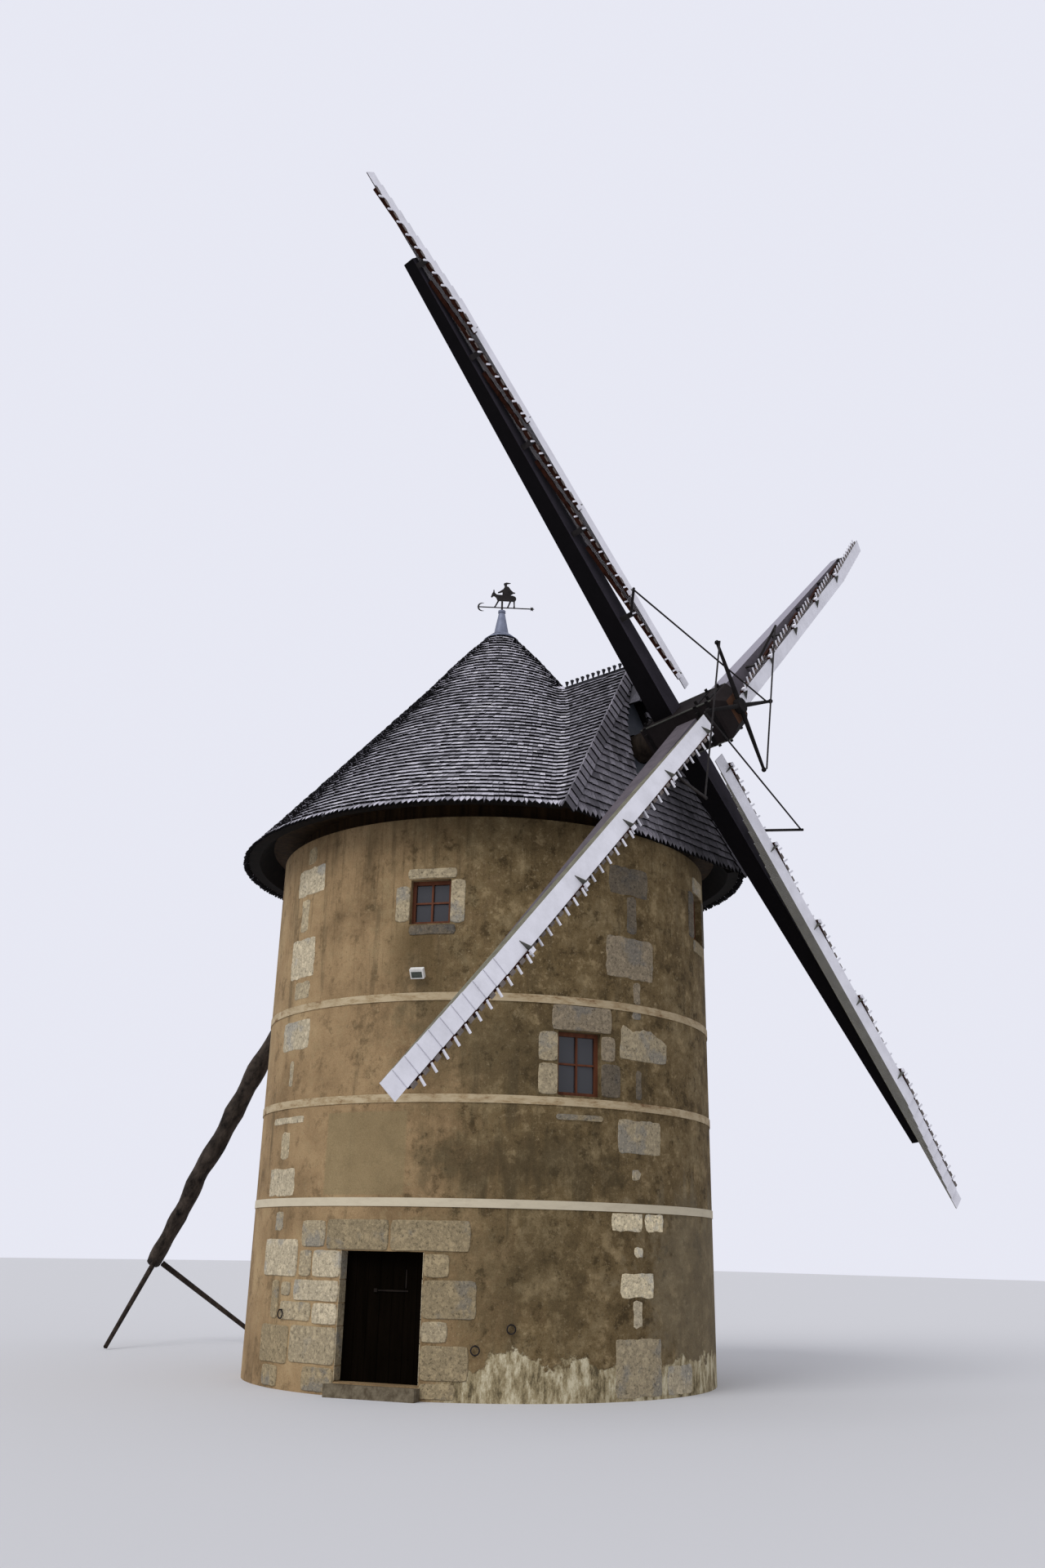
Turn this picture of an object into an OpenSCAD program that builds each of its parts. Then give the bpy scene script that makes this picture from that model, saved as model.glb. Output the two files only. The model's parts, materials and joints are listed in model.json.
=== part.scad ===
// Stone tower windmill with a shingled turning cap, closed board sails and a tail pole.
// The origin is the middle of the tower at ground level, +Z is up, the sails face -Y.

/* [Tower] */
// Outside radius of the round wall at the ground
tower_base_r = 4000; // [3000:50:5500]
// Outside radius of the round wall at its top
tower_top_r = 3965; // [2800:5:5400]
// Thickness of the masonry at the ground
wall_t = 1100; // [600:20:1400]
// Height of each flat iron band
band_h = 125; // [60:5:200]
// Thickness of each flat iron band
band_t = 14; // [6:1:30]
// Gap between the lintel and the lowest band
band_low_gap = 188; // [60:2:400]
// Gap between the middle band and the sill of the middle window
band_mid_gap = 34; // [10:2:60]
// Gap between the dressed stone of the middle window and the highest band
band_top_gap = 228; // [60:2:400]
// Height of the tie ring beside the doorway on the left
ring_left_z = 1120; // [600:10:1500]
// Height of the nearer tie ring on the right
ring_near_z = 750; // [600:10:1500]
// Height of the farther tie ring on the right
ring_far_z = 1040; // [600:10:1500]
// Radius of a tie ring
ring_r = 62; // [40:1:90]
// Radius of a tie ring's iron
ring_iron_r = 10; // [8:1:12]
// Radius of the eye that holds a tie ring
ring_eye_r = 12; // [10:1:16]
// How far that eye stands out of the wall
ring_eye_len = 70; // [60:1:80]
// Height of the lamp over the highest band
lamp_rise = 365; // [200:5:600]
// Width of the lamp
lamp_w = 220; // [160:5:260]
// Height of the lamp
lamp_h = 160; // [120:5:200]
// Depth of the lamp
lamp_d = 90; // [70:5:110]
// Forward lean of the lamp
lamp_lean = 35; // [20:1:45]
// Length of the lamp's arm
lamp_arm_len = 90; // [80:1:100]
// Width of the lamp's arm
lamp_arm_w = 40; // [30:1:50]
// Height of the lamp's arm
lamp_arm_h = 30; // [20:1:40]

/* [Storeys] */
// Height of the ground floor above the ground
ground_floor_top = 190; // [100:10:240]
// Height of the lowest storey
low_storey_h = 3060; // [2700:20:3600]
// Height of the middle storey
mid_storey_h = 2900; // [2500:20:3400]
// Height from the upper floor to the top of the masonry
top_storey_h = 2600; // [2300:20:3200]
// Thickness of a timber floor with its joists
floor_t = 200; // [120:10:300]

/* [Doorway] */
// Direction of the doorway, measured from +X
door_az = -158.6; // [-162:0.2:-156]
// Width of the doorway as seen from outside
door_w = 1370; // [1100:10:1450]
// Height of the doorway above its step
door_h = 1810; // [1600:10:1950]
// Thickness of the plank door
door_t = 55; // [40:5:80]
// How far the door is set back from the wall face
door_setback = 260; // [150:10:400]
// How far the door passes behind each jamb
door_lap = 30; // [15:5:50]
// Extra width of the room side of the doorway, each side
reveal_extra = 160; // [120:5:220]
// Gap round the door
door_gap = 6; // [5:1:10]
// Radius of each hinge pin
hinge_pin_r = 11; // [8:1:16]
// Thickness of a strap hinge
strap_t = 10; // [8:1:14]
// Height of a strap hinge
strap_h = 62; // [50:2:80]
// Length of a strap hinge
strap_len = 950; // [700:10:1150]
// Height of the lower hinge over the foot of the door
hinge_low = 280; // [200:10:400]
// Distance from the lower hinge to the upper one
hinge_span = 1100; // [900:10:1150]
// Thickness of the iron round a hinge pin
knuckle_t = 8; // [6:1:10]
// Gap between the knuckle and the edge of the door
knuckle_gap = 3; // [2:1:5]
// Width of the arm that holds a hinge pin
pin_arm_w = 26; // [22:1:30]
// Height of the arm that holds a hinge pin
pin_arm_h = 30; // [24:1:36]
// How far a hinge pin stands out over its knuckle
pin_rise = 20; // [10:1:30]
// Height of the two lintel stones
lintel_h = 450; // [300:10:550]
// Length of the lintel stones together
lintel_len = 2920; // [2000:20:3100]
// Width of the corner stones beside the doorway
quoin_w = 640; // [300:20:760]
// How far dressed stone stands out of the render
stone_proud = 18; // [8:1:40]
// How far the step stands out of the wall
step_out = 170; // [80:10:300]

/* [Windows] */
// Direction of the small window over the door
win_a_az = -151.0; // [-153:0.2:-149]
// Direction of the larger middle window
win_b_az = -115.1; // [-118:0.2:-112]
// Direction of the high window behind the sails
win_c_az = -67.5; // [-70:0.2:-65]
// Width of the small window over the door
win_a_w = 680; // [500:10:800]
// Width of the larger middle window
win_b_w = 735; // [550:5:850]
// Width of the high window
win_c_w = 660; // [500:10:800]
// Height of the small window's sill over the upper floor
win_a_rise = 810; // [500:10:1000]
// Height of the middle window's sill over the middle floor
win_b_rise = 1070; // [700:10:1300]
// Height of the high window's sill over the upper floor
win_c_rise = 1160; // [800:10:1300]
// Height of the small window
win_a_h = 735; // [550:5:850]
// Height of the middle window
win_b_h = 985; // [800:5:1100]
// Height of the high window
win_c_h = 840; // [650:10:1000]
// Width of a window's frame timber
frame_w = 62; // [40:2:90]
// Depth of a window's frame timber
frame_d = 80; // [50:5:120]
// How far a window is set back from the wall face
win_setback = 120; // [60:10:300]
// Thickness of the window glass
glass_t = 6; // [4:1:12]
// Width of the dressed stone beside a window
surround_w = 190; // [100:10:300]

/* [Cap] */
// Height of the roof's lower edge over the masonry
eave_rise = 40; // [20:5:120]
// How far the roof's lower edge stands out past the masonry
eave_out = 685; // [640:5:850]
// Height at which the cone would come to a point, over its lower edge
cone_h = 5360; // [4600:20:6200]
// Height at which the cone is cut off under that point for the lead
cone_cut_drop = 190; // [140:5:260]
// Thickness of rafters, boards and shingles together
roof_t = 150; // [90:5:220]
// Height of the ridge over the roof's lower edge
ridge_rise = 3490; // [3200:10:3800]
// Half the width of the ridge roof at its lower edge
gable_half_w = 2600; // [2300:20:2800]
// How far the foot of the front face stands out past the masonry
front_out = 45; // [30:5:120]
// How far the front face leans back over its height
front_back = 710; // [400:10:1000]
// Thickness of the front face
front_t = 120; // [80:5:180]
// Width of the opening for the windshaft
throat_w = 840; // [700:10:1000]
// Height of the foot of that opening over the roof's lower edge
throat_rise = 1060; // [950:10:1150]
// Height of that opening
throat_h = 2050; // [1800:10:2080]
// Height of the straight sides of that opening
throat_side_h = 1100; // [1000:10:1200]
// How far the hood over that opening stands out
hood_out = 270; // [150:10:350]
// Thickness of the hood
hood_t = 60; // [40:5:80]
// Half the width of the hood
hood_half_w = 255; // [230:5:280]
// Height of the hood
hood_h = 540; // [480:10:600]
// Thickness of the boards closing the opening
throat_board_t = 30; // [20:1:40]
// How far those boards pass behind the edges of the opening
throat_lap = 60; // [40:5:80]
// Gap round the windshaft in those boards
throat_gap = 25; // [15:1:40]
// How far the curbs lie inside the face of the masonry
curb_inset = 265; // [150:5:400]
// Width of the curbs
curb_w = 550; // [400:10:650]
// Height of the fixed curb
curb_h = 150; // [100:10:250]
// Height of the turning curb
turn_h = 170; // [120:10:220]
// Height of the ring of timber under the rafters
sole_h = 120; // [80:5:160]
// How far that ring reaches inwards from the curb's face
sole_in = 250; // [200:10:300]
// Height of the long bearers of the cap
bearer_h = 250; // [180:10:300]
// Width of a long bearer
bearer_w = 200; // [160:10:240]
// Length of the cross beams
beam_len = 2000; // [1900:20:2100]
// How far a cross beam passes a long bearer
beam_end = 50; // [30:5:80]
// Width of the beam that carries the trunk
tail_beam_w = 250; // [200:10:300]
// Height of the beam that carries the trunk
tail_beam_h = 200; // [160:10:240]
// Width of the cross beams under the windshaft
beam_w = 300; // [200:10:360]
// Distance of the neck beam behind the foot of the front face
neck_back = 960; // [900:10:1200]
// Distance of the tail beam behind the tower's middle
tail_y = 1500; // [1000:20:2000]
// Gap between the fixed and the turning curb
curb_gap = 0.8; // [0.5:0.1:3]
// Height of the lead cone on the roof's point
finial_h = 545; // [400:5:600]
// Radius of that cone at its top
finial_top_r = 62; // [40:2:90]
// Height of the collar on the lead cone
finial_collar_h = 45; // [30:1:60]
// How far that collar stands out
finial_collar_out = 15; // [8:1:24]
// Number of ornaments on the ridge
crest_count = 12; // [6:1:16]
// Half the width of the ridge cap
crest_half_w = 90; // [70:2:110]
// Half the width of the ridge cap's flat top
crest_top_half_w = 12; // [8:1:16]
// Thickness of the ridge cap at its edge
crest_t = 25; // [16:1:32]
// Height of the ridge cap over the ridge
crest_rise = 45; // [35:1:60]
// Height of an ornament on the ridge
crest_tooth_h = 100; // [70:2:130]
// Radius of an ornament at its foot
crest_tooth_low_r = 12; // [8:1:16]
// Radius of an ornament at its top
crest_tooth_r = 40; // [30:1:50]

/* [Tail pole] */
// Height of the trunk's upper end over the masonry
trunk_rise = 1220; // [1000:10:1300]
// Run of the trunk outwards under the roof for each unit that it falls
trunk_run = 0.887; // [0.85:0.001:0.92]
// Distance of the trunk's lower end from the tower's middle
trunk_end_y = 10250; // [9800:10:11000]
// Height of the trunk's lower end
trunk_end_z = 1640; // [1400:10:2000]
// Radius of the trunk under the roof
trunk_top_r = 140; // [110:2:150]
// Radius of the trunk at its thickest
trunk_mid_r = 215; // [160:5:260]
// Radius of the trunk at its lower end
trunk_end_r = 170; // [120:5:220]
// Radius of a leg where it meets the trunk
leg_r = 62; // [40:2:90]
// Radius of a leg at its foot
leg_low_r = 45; // [30:1:80]
// Distance of a foot to the side of the trunk
leg_foot_x = 1960; // [1200:20:2400]
// Distance of the feet from the tower's middle
leg_foot_y = 8655; // [8200:5:9400]
// Height of the feet of the legs over the ground
leg_clear = 20; // [10:5:60]
// Distance of the legs' meeting point before the trunk's end
leg_back = 60; // [40:5:90]
// Height of the legs' meeting point over the trunk's end
leg_lift = 80; // [60:5:100]

/* [Rotor] */
// Distance of the rear stock in front of the masonry
hub_out = 460; // [410:5:600]
// Height of the rear stock's middle over the masonry
hub_rise = 1964; // [1900:2:2050]
// Upward tilt of the windshaft
shaft_tilt = 6.8; // [5:0.1:10]
// Turn of the sails about the shaft
sail_phase = 43.4; // [0:0.2:90]
// Radius of the windshaft
shaft_r = 260; // [200:10:300]
// Gap round the windshaft in its bearings
bearing_gap = 0.6; // [0.3:0.1:2]
// Half the length of each stock
stock_len = 9060; // [8000:20:9500]
// Half the length of a stock's square middle part
stock_square = 500; // [400:10:600]
// How far a stock is set back on its middle line
stock_set_back = 30; // [20:1:40]
// Width of a stock at the hub
stock_hub_w = 400; // [300:10:460]
// Width of a stock at its end
stock_end_w = 210; // [140:10:280]
// Depth of a stock at the hub
stock_hub_d = 400; // [300:10:420]
// Depth of a stock at its end
stock_end_d = 200; // [120:10:260]
// How far the second stock lies in front of the first
stock_step = 466; // [440:2:520]
// Width of the square shaft head
head_w = 760; // [700:10:900]
// Length of the shaft head
head_len = 1680; // [1600:10:1690]
// How far the shaft head reaches behind the rear stock's middle
head_back = 460; // [400:10:500]
// How much the front of the shaft head is sloped off
head_slope = 150; // [60:10:180]
// How far the windshaft reaches behind its tail beam's middle
shaft_end = 230; // [200:10:300]

/* [Sail boards] */
// Number of boards in each sail
board_count = 11; // [9:1:12]
// How far the rear board's outer end lies in front of the stock
board_clear = 12; // [8:1:40]
// Width of a sail board
board_w = 270; // [200:5:320]
// Thickness of a sail board
board_t = 15; // [12:1:18]
// Spacing of the closed boards in depth
board_pitch = 19.6; // [19:0.2:24]
// Length of a sail board
board_len = 7500; // [6500:20:7800]
// Shift of each board beyond the one in front
board_shift = 240; // [180:5:260]
// Distance of the front board from the shaft
board_start = 660; // [600:10:800]
// Lean of the boards towards the stock, from the shaft outwards
board_lean = 0.76; // [0.5:0.02:1]
// Weather angle of the boards
board_twist = 8.6; // [0:0.2:15]
// Number of levers on each sail
lever_count = 5; // [4:1:6]
// Distance of the first lever's pin from the shaft
lever_first = 2250; // [2150:10:2350]
// Distance from one lever's pin to the next
lever_step = 1665; // [1500:5:1720]
// Width of a lever
lever_w = 62; // [45:1:80]
// Thickness of a lever
lever_t = 34; // [20:1:45]
// Distance of the levers beside the stock's middle line
lever_y = 75; // [70:1:80]
// Distance from a lever's pin on its bracket to its front board's pin
lever_hub_end = 1200; // [1150:10:1250]
// How far a lever passes the pins of its outermost boards
lever_end = 180; // [120:5:190]
// Width of a lever's bracket
bracket_w = 90; // [60:5:120]
// Thickness of a lever's bracket
bracket_t = 26; // [20:1:32]

/* [Striking gear] */
// Radius of the spider's boss
spider_hub_r = 130; // [100:5:160]
// Length of the spider's boss
spider_hub_len = 110; // [90:5:130]
// Radius of the stem that carries the boss
spider_stem_r = 60; // [40:2:80]
// Radius of a spider arm at the boss
spider_root_r = 44; // [30:1:55]
// Radius of a spider arm at its outer end
spider_tip_r = 26; // [20:1:40]
// Radius of the ball at the end of a spider arm
spider_ball_r = 42; // [35:1:55]
// Distance of the spider in front of the rear stock
spider_z = 1288; // [1200:4:1400]
// Length of a spider arm
spider_len = 1161; // [900:3:1300]
// Turn of a spider arm from its own sail
spider_turn = -110.2; // [-125:0.2:-95]
// Radius of a striking rod
rod_r = 15; // [10:1:25]
// Gap between a striking rod and the ball in front of which it ends
rod_gap = 0.3; // [0.2:0.1:1]
// Distance of a striking rod's end beyond the first lever's pin
rod_end_out = 400; // [380:5:420]
// Distance of a striking rod's end to the side of the stock
rod_end_side = 484; // [460:4:500]
// Distance of a striking rod's end in front of the stock's middle line
rod_end_rise = 880; // [860:5:900]
// Radius of the arm that joins a striking rod to its lever
rod_arm_r = 24; // [18:1:28]
// Distance of that arm's foot beyond the lever's pin
rod_foot_out = 20; // [10:1:30]
// Distance of that arm's foot to the side of the stock's middle line
rod_foot_side = 88; // [83:1:93]
// Distance of that arm's foot in front of the stock's middle line
rod_foot_rise = 395; // [385:1:405]

/* [Vane] */
// Direction of the weather vane, measured from +X
vane_az = -44.2; // [-180:0.2:180]
// Height of the vane's bar over the lead cone
vane_rise = 128; // [100:2:160]
// Thickness of the vane's plates
vane_t = 12; // [6:1:20]
// Radius of the spindle on which the vane turns
spindle_r = 11; // [8:1:14]
// Gap round the spindle
spindle_gap = 0.6; // [0.3:0.1:1]
// Radius of the vane's bar
vane_bar_r = 12; // [8:1:18]
// Length of the vane's bar on the side of the crescent
vane_back_len = 480; // [440:5:520]
// Length of the vane's bar on the side of the star
vane_front_len = 595; // [550:5:640]
// Radius of the star
star_r = 54; // [44:2:64]
// Radius of the crescent
crescent_r = 96; // [88:1:104]
// How far the bar passes into the crescent
crescent_lap = 66; // [60:1:72]
// Radius of the round bite out of the crescent
bite_r = 88; // [80:1:92]
// Shift of that bite to the side
bite_shift = 26; // [22:1:30]
// Radius of the tube that turns on the spindle
sleeve_r = 20; // [16:1:26]
// Length of the tube under the bar
sleeve_low = 70; // [50:1:90]
// Length of the tube over the bar
sleeve_high = 155; // [140:1:170]

/* [Hidden] */
$fn = 240;
eps = 1;
fit_gap = 0.2;
first_floor_top = ground_floor_top + low_storey_h;
second_floor_top = first_floor_top + mid_storey_h;
tower_h = second_floor_top + top_storey_h;
tower_in_r = tower_base_r - wall_t;
win_a_z = second_floor_top + win_a_rise;
win_b_z = first_floor_top + win_b_rise;
win_c_z = second_floor_top + win_c_rise;
door_foot_z = ground_floor_top;
door_top_z = door_foot_z + door_h;
wall_split_z = door_top_z;
lintel_top_z = door_top_z + lintel_h;
band_low_z = lintel_top_z + band_low_gap + band_h / 2;
band_mid_z = win_b_z - band_mid_gap - band_h / 2;
band_top_z = win_b_z + win_b_h + surround_w + band_top_gap + band_h / 2;
lamp_z = band_top_z + lamp_rise;
leaf_w = door_w + 2 * door_lap;
leaf_z = door_foot_z + door_gap;
leaf_h = door_h - 2 * door_gap;
leaf_x = tower_base_r - door_setback - door_t;
hinge_gap = 0.4;
hinge_x = leaf_x - strap_t / 2;
hinge_y = door_gap - leaf_w / 2 - hinge_pin_r - knuckle_t - knuckle_gap;
reveal_side = leaf_w / 2 + reveal_extra;
curb_z = tower_h;
turn_z = curb_z + curb_h + curb_gap;
sole_z = turn_z + turn_h;
bearer_z = sole_z + sole_h;
tail_beam_z = bearer_z + bearer_h;
eave_z = tower_h + eave_rise;
eave_r = tower_top_r + eave_out;
front_foot_y = tower_top_r + front_out;
front_peak_y = front_foot_y - front_back;
neck_y = front_foot_y - neck_back;
curb_r = tower_top_r - curb_inset;
hub_y = tower_top_r + hub_out;
cone_tip_z = eave_z + cone_h;
ridge_z = eave_z + ridge_rise;
throat_z = eave_z + throat_rise;
hub_z = tower_h + hub_rise;
cone_slope = (cone_tip_z - eave_z) / eave_r;
cone_in_drop = roof_t * sqrt(1 + cone_slope * cone_slope);
cone_in_tip = cone_tip_z - cone_in_drop;
cone_in_r = (cone_in_tip - eave_z) / cone_slope;
cone_cut_z = cone_tip_z - cone_cut_drop;
cone_cut_r = (cone_tip_z - cone_cut_z) / cone_slope;
gable_slope = (ridge_z - eave_z) / gable_half_w;
gable_in_drop = roof_t * sqrt(1 + gable_slope * gable_slope);
gable_in_z = ridge_z - gable_in_drop;
gable_in_w = (gable_in_z - eave_z) / gable_slope;
front_lean = (front_foot_y - front_peak_y) / (ridge_z - eave_z);
stock_front = stock_hub_d / 2 - stock_set_back;
lever_rise = board_pitch / board_shift;
lever_tilt = atan(lever_rise);
lever_len = board_shift * (board_count - 1) + 2 * lever_end;
board_reach = board_len + board_shift * (board_count - 1);
board_fall = board_reach * sin(board_lean);
board_top = stock_front + board_clear + board_pitch * (board_count - 1) + board_fall;
board_y = lever_y - board_w / 2;
rod_foot = [lever_first + rod_foot_out, rod_foot_side, rod_foot_rise];
rod_end = [lever_first + rod_end_out, rod_end_side, rod_end_rise];
sector_far = 2 * tower_base_r;
cap_far = 3 * eave_r;
pass_y = (tower_top_r + cone_in_r) / 2 - 12;
trunk_top_y = pass_y - (tower_h + trunk_rise - eave_z) * trunk_run;
trunk_top = [trunk_top_y, tower_h + trunk_rise];
trunk_low = [trunk_end_y, trunk_end_z];
trunk_out = [pass_y + 2.5 * trunk_top_r * trunk_run, eave_z - 2.5 * trunk_top_r];
trunk_pts = [
  trunk_top, trunk_out, trunk_at(0.39, 0.64), trunk_at(0.74, 0.288), trunk_low
];
trunk_r = [trunk_top_r, trunk_top_r + 10, trunk_mid_r, trunk_mid_r - 10, trunk_end_r];
vane_z = cone_cut_z + finial_h + vane_rise;
spindle_top = 72;
head_front = head_len - head_back;
sole_notch_w = 2 * trunk_top_r + 100;
bearer_len = 2 * (curb_r - 100);
shaft_back = (hub_y + tail_y) / cos(shaft_tilt) + shaft_end;

function mix(a, b, t) = a + (b - a) * t;
function tower_r(z) = mix(tower_base_r, tower_top_r, z / tower_h);
function front_y(z) = front_foot_y - (z - eave_z) * front_lean;

// A point of the crooked trunk, as shares of its run and of its height outside the roof
function trunk_at(run, rise) = [
  mix(trunk_out[0], trunk_low[0], run), mix(trunk_low[1], trunk_out[1], rise)
];

// A round bar between two points
module bar(p, q, r1, r2, sides = 32) {
  d = q - p;
  len = norm(d);
  tilt = acos(d[2] / len);
  turn = atan2(d[1], d[0]);
  translate(p)
    rotate([0, tilt, turn])
      cylinder(h = len, r1 = r1, r2 = r2, $fn = sides);
}

// The point a distance d past q on the way from p
function past(p, q, d) = q + d * (q - p) / norm(q - p);

// The full outside of the masonry, made larger by grow
module tower_solid(grow) {
  cylinder(h = tower_h, r1 = tower_base_r + grow, r2 = tower_top_r + grow);
}

// The space inside the masonry
module tower_space() {
  translate([0, 0, -eps])
    cylinder(h = tower_h + 2 * eps, r = tower_in_r);
}

// A wedge from angle a0 to a1, between two heights
module sector(a0, a1, z0, z1) {
  am = (a0 + a1) / 2;
  translate([0, 0, z0])
    linear_extrude(height = z1 - z0)
      polygon([
        [0, 0],
        sector_far * [cos(a0), sin(a0)],
        sector_far * 1.5 * [cos(am), sin(am)],
        sector_far * [cos(a1), sin(a1)]
      ]);
}

// A block pointing outwards at an angle, from radius r0 to r1
module radial_block(az, w, r0, r1, z0, z1) {
  rotate([0, 0, az])
    translate([r0, -w / 2, z0])
      cube([r1 - r0, w, z1 - z0]);
}

module doorway_cut() {
  radial_block(door_az, door_w, 1000, 2 * tower_base_r, door_foot_z, door_top_z + 100);
  radial_block(door_az, 2 * reveal_side, 1000, leaf_x + door_t + door_gap,
    door_foot_z, door_top_z + 100);
}

module window_cuts() {
  radial_block(win_a_az, win_a_w, 1000, 2 * tower_base_r, win_a_z, win_a_z + win_a_h);
  radial_block(win_b_az, win_b_w, 1000, 2 * tower_base_r, win_b_z, win_b_z + win_b_h);
  radial_block(win_c_az, win_c_w, 1000, 2 * tower_base_r, win_c_z, win_c_z + win_c_h);
}

module wall_ring(a0, a1, z0, z1) {
  difference() {
    intersection() {
      tower_solid(0);
      sector(a0, a1, z0, z1);
    }
    tower_space();
  }
}

module wall_low(a0, a1) {
  color("tan")
    difference() {
      wall_ring(a0, a1, 0, wall_split_z);
      doorway_cut();
    }
}

module wall_high(a0, a1) {
  color("tan")
    difference() {
      wall_ring(a0, a1, wall_split_z, tower_h);
      window_cuts();
    }
}

module wall_low_front() {
  wall_low(door_az, door_az + 90);
}

module wall_low_right() {
  wall_low(door_az + 90, door_az + 180);
}

module wall_low_back() {
  wall_low(door_az + 180, door_az + 270);
}

module wall_low_left() {
  wall_low(door_az + 270, door_az + 360);
}

module wall_over_door() {
  wall_high(door_az - 45, door_az + 26);
}

module wall_high_front() {
  wall_high(door_az + 26, door_az + 112);
}

module wall_high_right() {
  wall_high(door_az + 112, door_az + 213);
}

module wall_high_back() {
  wall_high(door_az + 213, door_az + 315);
}

module ground_floor() {
  color("gray")
    cylinder(h = ground_floor_top, r = tower_in_r);
}

module timber_floor(top) {
  color("burlywood")
    translate([0, 0, top - floor_t])
      cylinder(h = floor_t, r = tower_in_r);
}

// A skin of dressed stone standing proud of the render
module proud_patch(az, w, z0, z1) {
  intersection() {
    difference() {
      tower_solid(stone_proud);
      tower_solid(0);
    }
    radial_block(az, w, 2000, 2 * tower_base_r, z0, z1);
  }
}

module door_surround() {
  color("lightgray")
    difference() {
      union() {
        proud_patch(door_az, door_w + 2 * quoin_w, 0, door_top_z);
        proud_patch(door_az, lintel_len, door_top_z, lintel_top_z);
      }
      radial_block(door_az, door_w, 1000, 2 * tower_base_r, -eps, door_top_z);
    }
}

module window_surround(az, w, z, h) {
  difference() {
    proud_patch(az, w + 2 * surround_w, z - surround_w, z + h + surround_w);
    radial_block(az, w, 1000, 2 * tower_base_r, z, z + h);
  }
}

module window_surrounds() {
  color("lightgray") {
    window_surround(win_a_az, win_a_w, win_a_z, win_a_h);
    difference() {
      window_surround(win_b_az, win_b_w, win_b_z, win_b_h);
      band_room(band_mid_z, 1);
    }
    window_surround(win_c_az, win_c_w, win_c_z, win_c_h);
  }
}

module window_frame(az, w, z, h) {
  x0 = tower_r(z) * cos(asin(w / 2 / tower_r(z))) - win_setback - frame_d;
  difference() {
    radial_block(az, w, x0, x0 + frame_d, z, z + h);
    radial_block(az, w - 2 * frame_w, x0 - eps, x0 + frame_d + eps, z + frame_w, z + h - frame_w);
  }
  radial_block(az, frame_w / 2, x0 + frame_d / 2 + glass_t / 2, x0 + frame_d,
    z + frame_w, z + h - frame_w);
}

module window_frames() {
  color("brown") {
    window_frame(win_a_az, win_a_w, win_a_z, win_a_h);
    window_frame(win_b_az, win_b_w, win_b_z, win_b_h);
    window_frame(win_c_az, win_c_w, win_c_z, win_c_h);
  }
}

module window_pane(az, w, z, h) {
  x0 = tower_r(z) * cos(asin(w / 2 / tower_r(z))) - win_setback - frame_d / 2;
  radial_block(az, w - 2 * frame_w, x0 - glass_t / 2, x0 + glass_t / 2,
    z + frame_w, z + h - frame_w);
}

module window_panes() {
  color("lightblue") {
    window_pane(win_a_az, win_a_w, win_a_z, win_a_h);
    window_pane(win_b_az, win_b_w, win_b_z, win_b_h);
    window_pane(win_c_az, win_c_w, win_c_z, win_c_h);
  }
}

module band_ring(z) {
  z0 = z - band_h / 2;
  difference() {
    band_room(z, 0);
    translate([0, 0, z0 - eps])
      cylinder(h = band_h + 2 * eps, r1 = tower_r(z0 - eps) + fit_gap,
        r2 = tower_r(z0 + band_h + eps) + fit_gap);
  }
}

// The room that a band takes round the tower, made larger by grow
module band_room(z, grow) {
  translate([0, 0, z - band_h / 2 - grow])
    cylinder(h = band_h + 2 * grow, r = tower_r(z) + band_t + grow);
}

module iron_bands() {
  color("beige") {
    band_ring(band_low_z);
    band_ring(band_mid_z);
    band_ring(band_top_z);
  }
}

module door_step() {
  color("saddlebrown")
    difference() {
      radial_block(door_az, door_w + 100, 3000, tower_base_r + step_out, 0, door_foot_z - 10);
      tower_solid(stone_proud);
    }
}

module tie_ring(az, z) {
  rotate([0, 0, az])
    translate([tower_r(z), 0, z]) {
      translate([fit_gap, 0, 0])
        rotate([0, 90, 0])
          cylinder(h = ring_eye_len, r = ring_eye_r, $fn = 24);
      translate([ring_eye_len - 2 * ring_eye_r + fit_gap, 0, -ring_r])
        rotate([0, 90, 0])
          rotate_extrude($fn = 48)
            translate([ring_r, 0])
              circle(r = ring_iron_r, $fn = 24);
    }
}

module tie_rings() {
  color("dimgray") {
    tie_ring(-129.9, ring_far_z);
    tie_ring(-137.2, ring_near_z);
    tie_ring(173.8, ring_left_z);
  }
}

module floodlight() {
  color("white")
    rotate([0, 0, -152.5])
      translate([tower_r(lamp_z), 0, lamp_z]) {
        translate([2 * fit_gap, -lamp_arm_w / 2, -2 * lamp_arm_h])
          cube([lamp_arm_len, lamp_arm_w, lamp_arm_h]);
        translate([lamp_arm_len - lamp_arm_h, -lamp_w / 2, -2 * lamp_arm_h])
          rotate([0, lamp_lean, 0])
            cube([lamp_d, lamp_w, lamp_h]);
      }
}

module fixed_curb() {
  color("peru")
    translate([0, 0, curb_z])
      difference() {
        cylinder(h = curb_h, r = curb_r);
        translate([0, 0, -eps])
          cylinder(h = curb_h + 2 * eps, r = curb_r - curb_w);
      }
}

module door_leaf() {
  color("saddlebrown")
    radial_block(door_az, leaf_w - 2 * door_gap, leaf_x, leaf_x + door_t, leaf_z, leaf_z + leaf_h);
}

module hinge_place(i) {
  rotate([0, 0, door_az])
    translate([hinge_x, hinge_y, leaf_z + hinge_low + i * hinge_span])
      children();
}

module door_straps() {
  color("black")
    for (i = [0 : 1])
      hinge_place(i)
        difference() {
          union() {
            translate([-strap_t / 2, 0, 0])
              cube([strap_t, strap_len, strap_h]);
            cylinder(h = strap_h, r = hinge_pin_r + knuckle_t, $fn = 48);
          }
          translate([0, 0, -eps])
            cylinder(h = strap_h + 2 * eps, r = hinge_pin_r + hinge_gap, $fn = 48);
        }
}

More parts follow.
